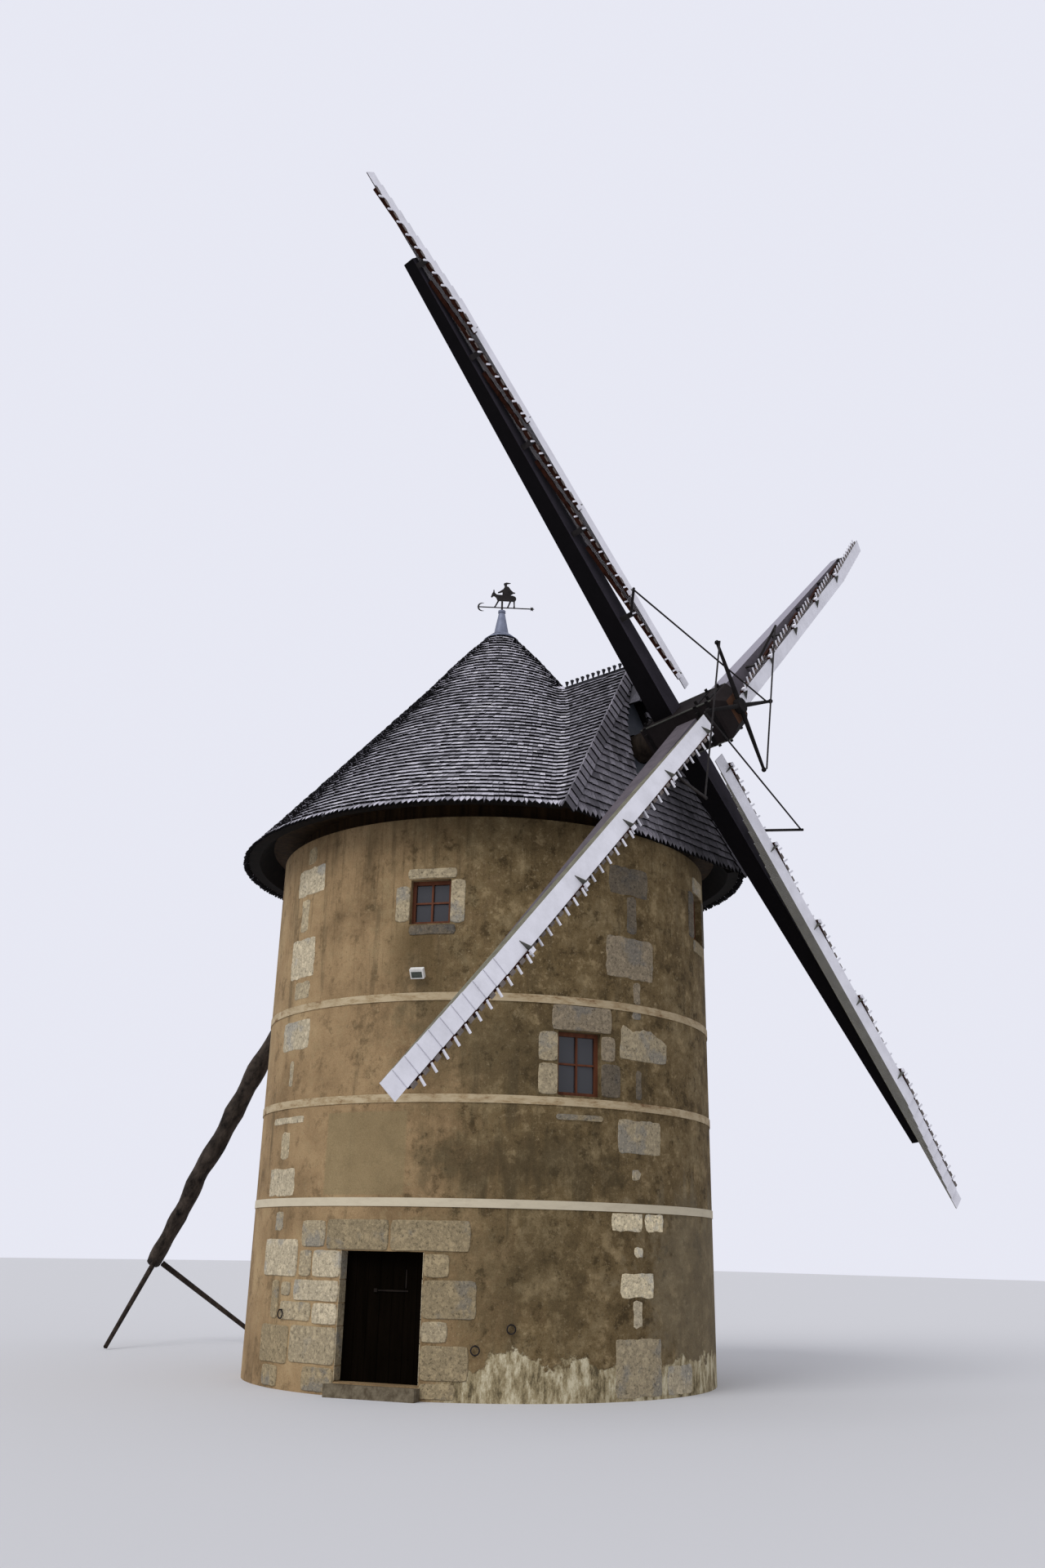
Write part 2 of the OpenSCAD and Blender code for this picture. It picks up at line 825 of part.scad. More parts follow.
module door_pintles() {
  color("black")
    for (i = [0 : 1])
      hinge_place(i) {
        translate([0, 0, -pin_arm_h])
          cylinder(h = pin_arm_h + strap_h + pin_rise, r = hinge_pin_r, $fn = 48);
        translate([-pin_arm_w / 2, -reveal_side - hinge_y, -pin_arm_h])
          cube([pin_arm_w, reveal_side + hinge_y + pin_arm_w / 2, pin_arm_h - hinge_gap]);
      }
}

// The outside of the ridge roof, made smaller by a slope offset
module gable_solid(half_w, top_z, y_front_cut, y0) {
  intersection() {
    translate([0, y0, 0])
      rotate([90, 0, 0])
        linear_extrude(height = front_foot_y + 200 + y0)
          polygon([[-half_w, eave_z], [half_w, eave_z], [0, top_z]]);
    translate([-half_w - 10, 0, 0])
      rotate([90, 0, 90])
        linear_extrude(height = 2 * half_w + 20)
          polygon([
            [y0 + 10, eave_z - 10],
            [-front_y(eave_z - 10) + y_front_cut, eave_z - 10],
            [-front_y(top_z + 10) + y_front_cut, top_z + 10],
            [y0 + 10, top_z + 10]
          ]);
  }
}

module cone_outer() {
  translate([0, 0, eave_z])
    cylinder(h = cone_cut_z - eave_z, r1 = eave_r, r2 = cone_cut_r);
}

module cone_space() {
  translate([0, 0, eave_z - eps])
    cylinder(h = cone_in_tip - eave_z + eps, r1 = cone_in_r + eps / cone_slope, r2 = 0);
}

module front_half_space() {
  translate([-cap_far / 2, 0, 0])
    rotate([90, 0, 90])
      linear_extrude(height = cap_far)
        polygon([
          [-front_y(eave_z - 500), eave_z - 500],
          [-front_y(cone_tip_z + 500), cone_tip_z + 500],
          [-cap_far, cone_tip_z + 500],
          [-cap_far, eave_z - 500]
        ]);
}

module cone_roof() {
  color("dimgray")
    difference() {
      cone_outer();
      cone_space();
      gable_solid(gable_half_w, ridge_z, -40, 0);
      front_half_space();
    }
}

module ridge_roof() {
  color("dimgray")
    difference() {
      gable_solid(gable_half_w, ridge_z, 0, 0);
      gable_solid(gable_in_w, gable_in_z, -400, 200);
      cone_space();
    }
}

module front_face() {
  color("gray")
    difference() {
      intersection() {
        gable_solid(gable_in_w, gable_in_z, 0, 0);
        front_slab();
      }
      throat();
    }
}

// The pointed opening through which the windshaft comes out
module throat() {
  translate([0, -front_peak_y / 2, 0])
    rotate([90, 0, 0])
      linear_extrude(height = front_foot_y)
        polygon([
          [-throat_w / 2, throat_z], [throat_w / 2, throat_z],
          [throat_w / 2, throat_z + throat_side_h], [0, throat_z + throat_h],
          [-throat_w / 2, throat_z + throat_side_h]
        ]);
}

module front_slab() {
  translate([-cap_far / 2, 0, 0])
    rotate([90, 0, 90])
      linear_extrude(height = cap_far)
        polygon([
          [-front_y(eave_z - 200), eave_z - 200],
          [-front_y(ridge_z + 200), ridge_z + 200],
          [-front_y(ridge_z + 200) + front_t, ridge_z + 200],
          [-front_y(eave_z - 200) + front_t, eave_z - 200]
        ]);
}

// Boards closing the opening round the windshaft
module throat_boards() {
  foot_y = front_t + fit_gap - front_y(throat_z - throat_lap);
  boards_h = throat_h + 2 * throat_lap;
  top_y = foot_y + boards_h * front_lean;
  color("slategray")
    difference() {
      intersection() {
        translate([-throat_w / 2 - throat_lap, 0, throat_z - throat_lap])
          rotate([90, 0, 90])
            linear_extrude(height = throat_w + 2 * throat_lap)
              polygon([
                [foot_y, 0], [top_y, boards_h], [top_y + throat_board_t, boards_h],
                [foot_y + throat_board_t, 0]
              ]);
        gable_solid(gable_in_w, gable_in_z, 0, 0);
      }
      rotor_place()
        translate([0, 0, -shaft_back])
          cylinder(h = shaft_back, r = shaft_r + throat_gap);
    }
}

module shaft_hood() {
  tip_z = throat_z + throat_h + hood_t;
  foot_z = tip_z - hood_h;
  inner_half_w = hood_half_w - hood_t;
  inner_tip_z = tip_z - hood_t * hood_h / hood_half_w;
  color("gray")
    intersection() {
      translate([0, front_back - front_y(foot_z), 0])
        rotate([90, 0, 0])
          linear_extrude(height = front_back + hood_out)
            polygon([
              [-hood_half_w, foot_z], [0, tip_z], [hood_half_w, foot_z],
              [inner_half_w, foot_z], [0, inner_tip_z], [-inner_half_w, foot_z]
            ]);
      front_half_space();
    }
}

module ridge_crest() {
  foot_z = ridge_z - crest_half_w * gable_slope;
  y0 = -(cone_tip_z - foot_z) / cone_slope - crest_top_half_w;
  y1 = -front_peak_y;
  span = y0 - y1;
  color("dimgray") {
    translate([0, y0, 0])
      rotate([90, 0, 0])
        linear_extrude(height = span)
          polygon([
            [-crest_half_w, foot_z], [0, ridge_z], [crest_half_w, foot_z],
            [crest_half_w, foot_z + crest_t], [crest_top_half_w, ridge_z + crest_rise],
            [-crest_top_half_w, ridge_z + crest_rise], [-crest_half_w, foot_z + crest_t]
          ]);
    for (i = [0 : crest_count - 1])
      translate([0, y1 + (i + 0.5) * span / crest_count, ridge_z + crest_rise])
        rotate([0, 0, 45])
          cylinder(h = crest_tooth_h, r1 = crest_tooth_low_r, r2 = crest_tooth_r, $fn = 4);
  }
}

module finial() {
  color("lightgray")
    translate([0, 0, cone_cut_z]) {
      cylinder(h = finial_h, r1 = cone_cut_r, r2 = finial_top_r);
      translate([0, 0, finial_h])
        cylinder(h = finial_collar_h, r = finial_top_r + finial_collar_out);
      cylinder(h = finial_h + vane_rise + spindle_top, r = spindle_r, $fn = 32);
    }
}

module curb_part(z, h, r_out, r_in) {
  translate([0, 0, z])
    difference() {
      cylinder(h = h, r = r_out);
      translate([0, 0, -eps])
        cylinder(h = h + 2 * eps, r = r_in);
    }
}

module turning_curb() {
  color("peru")
    curb_part(turn_z, turn_h, curb_r, curb_r - curb_w);
}

// The ring of timber that carries the feet of the rafters
module rafter_sole() {
  color("burlywood")
    intersection() {
      curb_part(sole_z, sole_h, eave_r, curb_r - sole_in);
      union() {
        cone_space();
        gable_solid(gable_in_w, gable_in_z, 0, 0);
      }
      translate([-cap_far / 2, -front_y(sole_z + sole_h) + front_t, 0])
        cube([cap_far, cap_far, cap_far]);
      difference() {
        translate([-cap_far / 2, -cap_far / 2, 0])
          cube([cap_far, cap_far, cap_far]);
        translate([-sole_notch_w / 2, curb_r - curb_w, 0])
          cube([sole_notch_w, eave_r, cap_far]);
      }
    }
}

module cap_bearers() {
  neck_z = hub_z - (hub_y - neck_y) * tan(shaft_tilt);
  tail_z = hub_z - (hub_y + tail_y) * tan(shaft_tilt);
  color("burlywood")
    difference() {
      union() {
        for (x = [beam_end - beam_len / 2, beam_len / 2 - beam_end - bearer_w])
          translate([x, -bearer_len / 2, bearer_z])
            cube([bearer_w, bearer_len, bearer_h]);
        translate([-beam_len / 2, -neck_y - beam_w / 2, tail_beam_z])
          cube([beam_len, beam_w, neck_z - tail_beam_z]);
        translate([-beam_len / 2, tail_y - beam_w / 2, tail_beam_z])
          cube([beam_len, beam_w, tail_z - tail_beam_z]);
        tail_beam();
      }
      rotor_place()
        translate([0, 0, -2 * shaft_back])
          cylinder(h = 2 * shaft_back, r = shaft_r + bearing_gap);
    }
}

function trunk_pt(i) = [0, trunk_pts[i][0], trunk_pts[i][1]];

module trunk_part(i) {
  bar(trunk_pt(i), past(trunk_pt(i), trunk_pt(i + 1), 30), trunk_r[i], trunk_r[i + 1], 12);
}

module tail_pole() {
  color("saddlebrown")
    difference() {
      for (i = [0 : len(trunk_pts) - 2])
        trunk_part(i);
      tail_beam();
    }
}

// The cross beam inside the cap that carries the upper end of the trunk
module tail_beam() {
  translate([-beam_len / 2, trunk_top_y + 50, tail_beam_z])
    cube([beam_len, tail_beam_w, tail_beam_h]);
}

module tail_legs() {
  top = trunk_pt(len(trunk_pts) - 1) + [0, -leg_back, leg_lift];
  foot_z = leg_clear + leg_low_r * 2 / 3;
  color("saddlebrown")
    difference() {
      union() {
        bar(top, [-leg_foot_x, leg_foot_y, foot_z], leg_r, leg_low_r, 8);
        bar(top, [leg_foot_x, leg_foot_y, foot_z], leg_r, leg_low_r, 8);
      }
      trunk_part(len(trunk_pts) - 2);
      translate([-leg_foot_y, 0, leg_clear - leg_foot_y])
        cube([2 * leg_foot_y, 2 * leg_foot_y, leg_foot_y]);
    }
}

module rotor_place() {
  translate([0, -hub_y, hub_z])
    rotate([90 - shaft_tilt, 0, 0])
      children();
}

module sail_place(k) {
  rotor_place()
    rotate([0, 0, sail_phase + 90 * k])
      translate([0, 0, k % 2 == 0 ? stock_step : 0])
        children();
}

module windshaft() {
  color("saddlebrown")
    rotor_place()
      translate([0, 0, -shaft_back])
        cylinder(h = shaft_back - head_back - fit_gap, r = shaft_r);
}

// One beam through the hub, square at the head and lighter to its ends
module stock_beam() {
  intersection() {
    translate([0, 0, -stock_hub_d])
      linear_extrude(height = 2 * stock_hub_d)
        polygon([
          [-stock_len, -stock_end_w / 2], [-stock_square, -stock_hub_w / 2],
          [stock_square, -stock_hub_w / 2], [stock_len, -stock_end_w / 2],
          [stock_len, stock_end_w / 2], [stock_square, stock_hub_w / 2],
          [-stock_square, stock_hub_w / 2], [-stock_len, stock_end_w / 2]
        ]);
    translate([0, stock_hub_w, 0])
      rotate([90, 0, 0])
        linear_extrude(height = 2 * stock_hub_w)
          polygon([
            [-stock_len, stock_front], [stock_len, stock_front],
            [stock_len, stock_front - stock_end_d],
            [stock_square, stock_front - stock_hub_d],
            [-stock_square, stock_front - stock_hub_d],
            [-stock_len, stock_front - stock_end_d]
          ]);
  }
}

module rear_stock() {
  color("dimgray")
    sail_place(1)
      stock_beam();
}

module front_stock() {
  color("dimgray")
    sail_place(0)
      stock_beam();
}

// A square block whose front edges are sloped off
module head_block() {
  intersection() {
    translate([-head_w / 2, -head_w / 2, -head_back])
      cube([head_w, head_w, head_len]);
    translate([0, head_w, 0])
      rotate([90, 0, 0])
        linear_extrude(height = 2 * head_w)
          head_profile();
    translate([-head_w, 0, 0])
      rotate([90, 0, 90])
        linear_extrude(height = 2 * head_w)
          head_profile();
  }
}

module head_profile() {
  polygon([
    [-head_w, -head_len], [head_w, -head_len],
    [head_w, head_front - head_slope - (head_w / 2)],
    [head_w / 2, head_front - head_slope], [head_w / 2 - head_slope, head_front],
    [head_slope - head_w / 2, head_front], [-head_w / 2, head_front - head_slope],
    [-head_w, head_front - head_slope - (head_w / 2)]
  ]);
}

module shaft_head() {
  color("darkslategray")
    difference() {
      rotor_place()
        rotate([0, 0, sail_phase])
          head_block();
      sail_place(1)
        stock_beam();
      sail_place(0)
        stock_beam();
    }
}

// The boards and levers are laid out from the hub end of the front board
module boards_place() {
  rotate([board_twist, 0, 0])
    translate([board_start, 0, board_top])
      rotate([0, board_lean, 0])
        children();
}

module board_stack() {
  boards_place()
    for (i = [0 : board_count - 1])
      translate([i * board_shift, board_y - board_w / 2, -i * board_pitch])
        cube([board_len, board_w, board_t]);
}

module sail_boards() {
  color("white")
    for (k = [0 : 3])
      sail_place(k)
        board_stack();
}

module lever_bar(r) {
  boards_place()
    translate([r - lever_hub_end - board_start, lever_y, board_t / 2])
      rotate([0, lever_tilt, 0])
        translate([-lever_end, 0, -lever_w / 2])
          cube([lever_len, lever_t, lever_w]);
}

module lever_set() {
  for (i = [0 : lever_count - 1])
    lever_bar(lever_first + i * lever_step);
}

module levers() {
  color("lightgray")
    for (k = [0 : 3])
      sail_place(k)
        lever_set();
}

// Height of a lever's pin over the stock's middle line
function pin_z(r) = board_top + board_t / 2 - lever_hub_end * lever_rise
  - (r - board_start) * tan(board_lean);

module bracket(r) {
  difference() {
    rotate([board_twist, 0, 0])
      translate([r - bracket_w / 2, lever_y + lever_t, 0])
        cube([bracket_w, bracket_t, pin_z(r) + lever_w / 2]);
    translate([0, -board_top, stock_front - 2 * board_top])
      cube([2 * stock_len, 2 * board_top, 2 * board_top]);
  }
}

module lever_brackets() {
  color("dimgray")
    for (k = [0 : 3])
      sail_place(k)
        for (i = [0 : lever_count - 1])
          bracket(lever_first + i * lever_step);
}

module spider() {
  color("dimgray")
    rotor_place() {
      translate([0, 0, head_front])
        cylinder(h = spider_z - head_front + spider_hub_len / 2, r = spider_stem_r);
      translate([0, 0, spider_z - spider_hub_len / 2])
        cylinder(h = spider_hub_len, r = spider_hub_r);
      for (k = [0 : 3])
        rotate([0, 0, sail_phase + 90 * k + spider_turn])
          translate([0, 0, spider_z]) {
            rotate([0, 90, 0])
              cylinder(h = spider_len, r1 = spider_root_r, r2 = spider_tip_r, $fn = 32);
            translate([spider_len, 0, 0])
              sphere(r = spider_ball_r, $fn = 48);
          }
    }
}

function rod_start() = [spider_len * cos(spider_turn), spider_len * sin(spider_turn), 0];

module rod_arm() {
  bar(rod_foot, past(rod_foot, rod_end, rod_arm_r + rod_r), rod_arm_r, rod_arm_r);
}

// The rods of the front stock start in front of the spider's balls, the others behind them
module striking_rods() {
  color("dimgray")
    for (k = [0 : 3])
      sail_place(k) {
        front = k % 2 == 0;
        z0 = spider_z - (front ? stock_step : 0) + (front ? 1 : -1) * (spider_ball_r + rod_r + rod_gap);
        difference() {
          bar(rod_start() + [0, 0, z0], rod_end, rod_r, rod_r);
          rod_arm();
        }
      }
}

module rod_arms() {
  color("dimgray")
    for (k = [0 : 3])
      sail_place(k)
        difference() {
          rod_arm();
          bracket(lever_first);
          lever_bar(lever_first);
        }
}

module vane_place() {
  translate([0, 0, vane_z])
    rotate([0, 0, vane_az])
      children();
}

module vane_plate() {
  translate([0, vane_t / 2, 0])
    rotate([90, 0, 0])
      linear_extrude(height = vane_t)
        children();
}

// The tube of the vane that turns on the spindle
module vane_sleeve() {
  translate([0, 0, -sleeve_low])
    cylinder(h = sleeve_low + sleeve_high, r = sleeve_r, $fn = 32);
}

module vane_rod() {
  rotate([0, 90, 0])
    translate([0, 0, -vane_back_len])
      cylinder(h = vane_back_len + vane_front_len, r = vane_bar_r, $fn = 32);
}

module star_outline() {
  polygon([
    for (i = [0 : 11])
      (i % 2 == 0 ? star_r : star_r / 2) * [cos(30 * i), sin(30 * i)]
  ]);
}

module crescent_outline() {
  difference() {
    circle(r = crescent_r);
    translate([bite_shift, 0])
      circle(r = bite_r);
  }
}

module vane_bar() {
  color("dimgray")
    vane_place() {
      difference() {
        union() {
          vane_rod();
          vane_sleeve();
        }
        translate([0, 0, -vane_rise])
          cylinder(h = vane_rise + spindle_top + spindle_gap, r = spindle_r + spindle_gap, $fn = 32);
      }
      translate([vane_front_len + star_r / 2, 0, 0])
        vane_plate()
          star_outline();
      translate([crescent_lap - vane_back_len, 0, 0])
        vane_plate()
          crescent_outline();
    }
}

module donkey_outline() {
  polygon([
    [-70, 300], [-120, 305], [-160, 345], [-170, 410], [-188, 412], [-194, 352],
    [-212, 330], [-238, 242], [-215, 224], [-190, 255], [-165, 260], [-122, 215],
    [-98, 155], [-150, 40], [-172, 8], [-136, 8], [-118, 40], [-62, 152],
    [150, 152], [122, 60], [98, 8], [134, 8], [152, 60], [190, 150],
    [232, 150], [240, 60], [232, 8], [270, 8], [266, 70], [264, 150],
    [291, 200], [290, 242], [262, 275], [210, 290]
  ]);
}

module rider_outline() {
  polygon([
    [5, 165], [245, 165], [228, 260], [172, 300], [230, 338], [265, 342],
    [268, 364], [225, 372], [178, 420], [130, 490], [85, 508], [50, 508],
    [20, 440], [-55, 380], [-96, 358], [-92, 334], [-48, 342], [0, 360]
  ]);
}

module hat_outline() {
  polygon([
    [18, 545], [32, 575], [80, 592], [166, 582], [168, 572], [104, 556], [88, 540]
  ]);
}

module vane_figure() {
  color("dimgray")
    vane_place()
      difference() {
        union() {
          vane_plate()
            donkey_outline();
          vane_plate()
            rider_outline();
          vane_plate()
            translate([62, 530])
              circle(r = 32, $fn = 48);
          vane_plate()
            hat_outline();
        }
        vane_rod();
        vane_sleeve();
      }
}

wall_low_front();
wall_low_right();
wall_low_back();
wall_low_left();
wall_over_door();
wall_high_front();
wall_high_right();
wall_high_back();
ground_floor();
timber_floor(first_floor_top);  // first_floor
timber_floor(second_floor_top);  // second_floor
door_surround();
window_surrounds();
window_frames();
window_panes();
iron_bands();
door_step();
tie_rings();
floodlight();
fixed_curb();
door_pintles();
door_leaf();
door_straps();
cone_roof();
ridge_roof();
front_face();
throat_boards();
shaft_hood();
ridge_crest();
finial();
turning_curb();
rafter_sole();
cap_bearers();
tail_pole();
tail_legs();
windshaft();
rear_stock();
front_stock();
shaft_head();
sail_boards();
levers();
lever_brackets();
spider();
striking_rods();
rod_arms();
vane_bar();
vane_figure();
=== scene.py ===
"""The look of a traditional stone tower windmill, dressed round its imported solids."""

import json
import math
import random

import bpy
from mathutils import Matrix, Vector


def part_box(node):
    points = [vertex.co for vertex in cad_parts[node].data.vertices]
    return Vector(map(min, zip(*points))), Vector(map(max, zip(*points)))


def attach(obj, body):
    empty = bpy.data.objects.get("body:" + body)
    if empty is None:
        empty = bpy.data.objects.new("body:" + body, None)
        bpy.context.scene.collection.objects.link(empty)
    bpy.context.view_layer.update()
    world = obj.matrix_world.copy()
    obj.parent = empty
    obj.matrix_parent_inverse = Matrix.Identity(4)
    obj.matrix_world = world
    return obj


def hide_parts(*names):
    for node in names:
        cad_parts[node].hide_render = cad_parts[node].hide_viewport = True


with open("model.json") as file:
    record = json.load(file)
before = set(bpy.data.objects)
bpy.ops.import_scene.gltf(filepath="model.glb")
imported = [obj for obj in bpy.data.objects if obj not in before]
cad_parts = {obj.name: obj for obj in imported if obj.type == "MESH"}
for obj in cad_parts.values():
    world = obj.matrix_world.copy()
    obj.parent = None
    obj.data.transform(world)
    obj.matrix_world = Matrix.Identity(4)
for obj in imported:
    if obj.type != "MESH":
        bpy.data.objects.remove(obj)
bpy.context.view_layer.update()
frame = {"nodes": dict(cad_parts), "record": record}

# The part's own sizes in metres and its angles in degrees
CONE_H = 5.36
FRONT_BACK = 0.71
WALL_BASE_R = 4.0
WALL_TOP_R = 3.965
WALL_H = 8.75
DOOR_AZ = -158.6
DOOR_W = 1.37
LEAF_FACE_R = WALL_BASE_R - 0.26
HUB = Vector((0, -4.425, 10.714))
SHAFT_TILT = 6.8
SAIL_COUNT = 4
SAIL_PHASE = 43.4
STOCK_STEP = 0.466
BOARD_COUNT = 11
BOARD_W = 0.27
BOARD_T = 0.015
BOARD_PITCH = 0.0196
BOARD_LEN = 7.5
BOARD_SHIFT = 0.24
BOARD_START = 0.66
BOARD_LEAN = 0.76
BOARD_TWIST = 8.6
BOARD_TOP = 0.5093
LEVER_COUNT = 5
LEVER_FIRST = 2.25
LEVER_STEP = 1.665
LEVER_HUB_END = 1.2
LEVER_Y = 0.075
FRAME_W = 0.062
WIN_SETBACK = 0.12
LAMP_AZ = -152.5
LAMP_Z = 6.15
LAMP_D = 0.09
LAMP_LEAN = 35

# Each window's angle, width, sill and height
WINDOWS = ((-151, 0.68, 6.96, 0.735), (-115.1, 0.735, 4.32, 0.985), (-67.5, 0.66, 7.31, 0.84))

# Sizes read from the solids
CONE_LOW, CONE_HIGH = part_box("cone_roof")
RIDGE_LOW, RIDGE_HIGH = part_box("ridge_roof")
EAVE_Z = CONE_LOW.z
EAVE_R = CONE_HIGH.y
CONE_TOP = CONE_HIGH.z
RIDGE_Z = RIDGE_HIGH.z
GABLE_HALF_W = RIDGE_HIGH.x
FRONT_FOOT = -RIDGE_LOW.y
FRONT_LEAN = FRONT_BACK / (RIDGE_Z - EAVE_Z)


def turned(degrees, axis="Z"):
    return Matrix.Rotation(math.radians(degrees), 4, axis)


def moved(x, y, z):
    return Matrix.Translation((x, y, z))


def quads(start, n):
    """The faces between a ring of n points and the ring that follows it."""
    return [[start + i, start + (i + 1) % n, start + n + (i + 1) % n, start + n + i] for i in range(n)]


def linked(name, data):
    obj = bpy.data.objects.new(name, data)
    bpy.context.scene.collection.objects.link(obj)
    return obj


class Heap:
    """Points and faces that become one mesh."""

    def __init__(self):
        self.points = []
        self.faces = []

    def add(self, points, faces):
        base = len(self.points)
        self.points += [Vector(p) for p in points]
        self.faces += [[base + i for i in face] for face in faces]

    def slab(self, low, high):
        """A closed solid between two outlines with the same number of points."""
        n = len(low)
        faces = [list(range(n))[::-1], list(range(n, 2 * n))]
        self.add(list(low) + list(high), faces + quads(0, n))

    def box(self, size, place):
        """A block of the given size whose middle is at the origin of place."""
        x, y, z = (s / 2 for s in size)
        ring = [(-x, -y), (x, -y), (x, y), (-x, y)]
        low = [place @ Vector((a, b, -z)) for a, b in ring]
        high = [place @ Vector((a, b, z)) for a, b in ring]
        self.slab(low, high)

    def tube(self, path, radii, sides, wobble=0, rng=None):
        """A closed round bar along a path."""
        points = []
        side = Vector((1, 0, 0))
        for i, p in enumerate(path):
            ahead = path[min(i + 1, len(path) - 1)] - path[max(i - 1, 0)]
            ahead.normalize()
            side = (side - ahead * side.dot(ahead)).normalized()
            other = ahead.cross(side)
            for k in range(sides):
                turn = 2 * math.pi * k / sides
                r = radii[i] * (1 + (wobble * rng.uniform(-1, 1) if rng else 0))
                points.append(p + r * (math.cos(turn) * side + math.sin(turn) * other))
        last = len(points) - sides
        faces = [list(range(sides))[::-1]]
        for start in range(0, last, sides):
            faces += quads(start, sides)
        self.add(points, faces + [list(range(last, last + sides))])

    def piece(self, name, body, slot, material, replaces=(), smooth=False):
        """Makes the mesh and lets it ride on its body."""
        mesh = bpy.data.meshes.new(name)
        mesh.from_pydata([tuple(p) for p in self.points], [], self.faces)
        mesh.update()
        if smooth:
            for face in mesh.polygons:
                face.use_smooth = True
        obj = linked(name, mesh)
        obj.data.materials.append(material)
        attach(obj, body)
        if replaces:
            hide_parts(*replaces)


def srgb(r, g, b):
    """A colour as a screen shows it, 0 to 255, in linear values."""
    return tuple((c / 255 / 12.92) if c < 11 else ((c / 255 + 0.055) / 1.055) ** 2.4 for c in (r, g, b))


def shaded(tone, share, most=255):
    """A tone made darker or lighter, with no channel over the limit."""
    return tuple(min(most, c * share) for c in tone)


class Tree:
    """The nodes of a material or a world."""

    def __init__(self, owner):
        owner.use_nodes = True
        self.nodes = owner.node_tree.nodes
        self.links = owner.node_tree.links

    def put(self, value, socket):
        if isinstance(value, bpy.types.NodeSocket):
            self.links.new(value, socket)
        else:
            socket.default_value = value

    def set(self, node, **inputs):
        """Fills a node's inputs, whose names have _ for a space."""
        for key, value in inputs.items():
            self.put(value, node.inputs[key.replace("_", " ")])

    def node(self, kind, **inputs):
        node = self.nodes.new("ShaderNode" + kind)
        self.set(node, **inputs)
        return node

    def math(self, operation, a, b):
        node = self.node("Math")
        node.operation = operation
        self.put(a, node.inputs[0])
        self.put(b, node.inputs[1])
        return node.outputs[0]


class Paint(Tree):
    """A node material built step by step. A tone is a colour as a screen shows it, 0 to 255."""

    def __init__(self, name, roughness=0.8, metallic=0, sheen=0.12):
        self.material = bpy.data.materials.new(name)
        super().__init__(self.material)
        self.shader = self.nodes["Principled BSDF"]
        self.set(self.shader, Roughness=roughness, Metallic=metallic, Specular_IOR_Level=sheen)
        self.coords = self.node("TexCoord").outputs["Object"]

    def stretched(self, scale):
        return self.node("Mapping", Scale=scale, Vector=self.coords).outputs["Vector"]

    def noise(self, scale, detail=4, rough=0.6, vector=None):
        node = self.node("TexNoise", Scale=scale, Detail=detail, Roughness=rough)
        self.set(node, Vector=vector or self.coords)
        return node.outputs["Fac"]

    def ramp(self, value, stops):
        """A colour or a grey at each stop's place, blended between them."""
        node = self.node("ValToRGB", Fac=value)
        elements = node.color_ramp.elements
        while len(elements) < len(stops):
            elements.new(0.5)
        for element, (place, colour) in zip(elements, stops):
            element.position = place
            element.color = (*colour, 1) if isinstance(colour, tuple) else (colour,) * 3 + (1,)
        return node.outputs["Color"]

    def tones(self, value, *stops):
        """A ramp whose stops are a place and a tone each."""
        return self.ramp(value, [(place, srgb(*tone)) for place, tone in stops])

    def level(self, value, low, high, out_low=0, out_high=1):
        """A smooth step between two limits of the value."""
        node = self.node("MapRange", Value=value, From_Min=low, From_Max=high)
        self.set(node, To_Min=out_low, To_Max=out_high)
        node.interpolation_type = "SMOOTHSTEP"
        return node.outputs["Result"]

    def times(self, a, b):
        return self.math("MULTIPLY", a, b)

    def plus(self, a, b):
        return self.math("ADD", a, b)

    def minus(self, a, b):
        return self.math("SUBTRACT", a, b)

    def swayed(self, value, noise, reach):
        """A place that wanders to both sides with the noise."""
        return self.plus(value, self.times(self.minus(noise, 0.5), reach))

    def mix(self, share, a, b, kind="MIX"):
        node = self.node("Mix", Factor=share)
        node.data_type = "RGBA"
        node.blend_type = kind
        for colour, letter in ((a, "A"), (b, "B")):
            if isinstance(colour, tuple):
                colour = (*colour, 1)
            self.put(colour, next(s for s in node.inputs if s.type == "RGBA" and s.name == letter))
        return next(s for s in node.outputs if s.type == "RGBA")

    def over(self, base, share, tone):
        """A tone laid over what is there, as much as the share says."""
        return self.mix(share, base, srgb(*tone))

    def grained(self, base, share, fine, light):
        """Fine dark and light grain in a colour."""
        return self.mix(share, base, self.ramp(fine, [(0.3, 0.28), (0.7, light)]), "SOFT_LIGHT")

    def axis(self, name, vector=None):
        return self.node("SeparateXYZ", Vector=vector or self.coords).outputs[name]

    def azimuth(self):
        """Angle round the tower in degrees, nought at the shaft and growing towards +X."""
        turn = self.math("ARCTAN2", self.axis("X"), self.times(self.axis("Y"), -1))
        return self.times(turn, 57.3)

    def facing(self, name):
        """How far a face looks along one of the object's own axes."""
        return self.axis(name, self.coords.node.outputs["Normal"])

    def inside(self, value, low, high, soft):
        """One between two limits, falling to nought over the soft margin."""
        rise = self.level(value, low - soft, low + soft)
        return self.times(rise, self.level(value, high - soft, high + soft, 1, 0))

    def patch(self, across, up, place, soft_across, soft_up):
        """One inside a patch of the wall, which is given as left, right, foot and top."""
        left, right, foot, top = place
        return self.times(self.inside(across, left, right, soft_across), self.inside(up, foot, top, soft_up))

    def island(self):
        """A random number for each separate piece of the mesh."""
        return self.node("NewGeometry").outputs["Random Per Island"]

    def colour(self, value):
        self.set(self.shader, Base_Color=value)

    def finish(self, colour, height, strength, distance):
        """The material with its colour and its bumps."""
        self.colour(colour)
        bump = self.node("Bump", Strength=strength, Distance=distance, Height=height)
        self.set(self.shader, Normal=bump.outputs["Normal"])
        return self.material


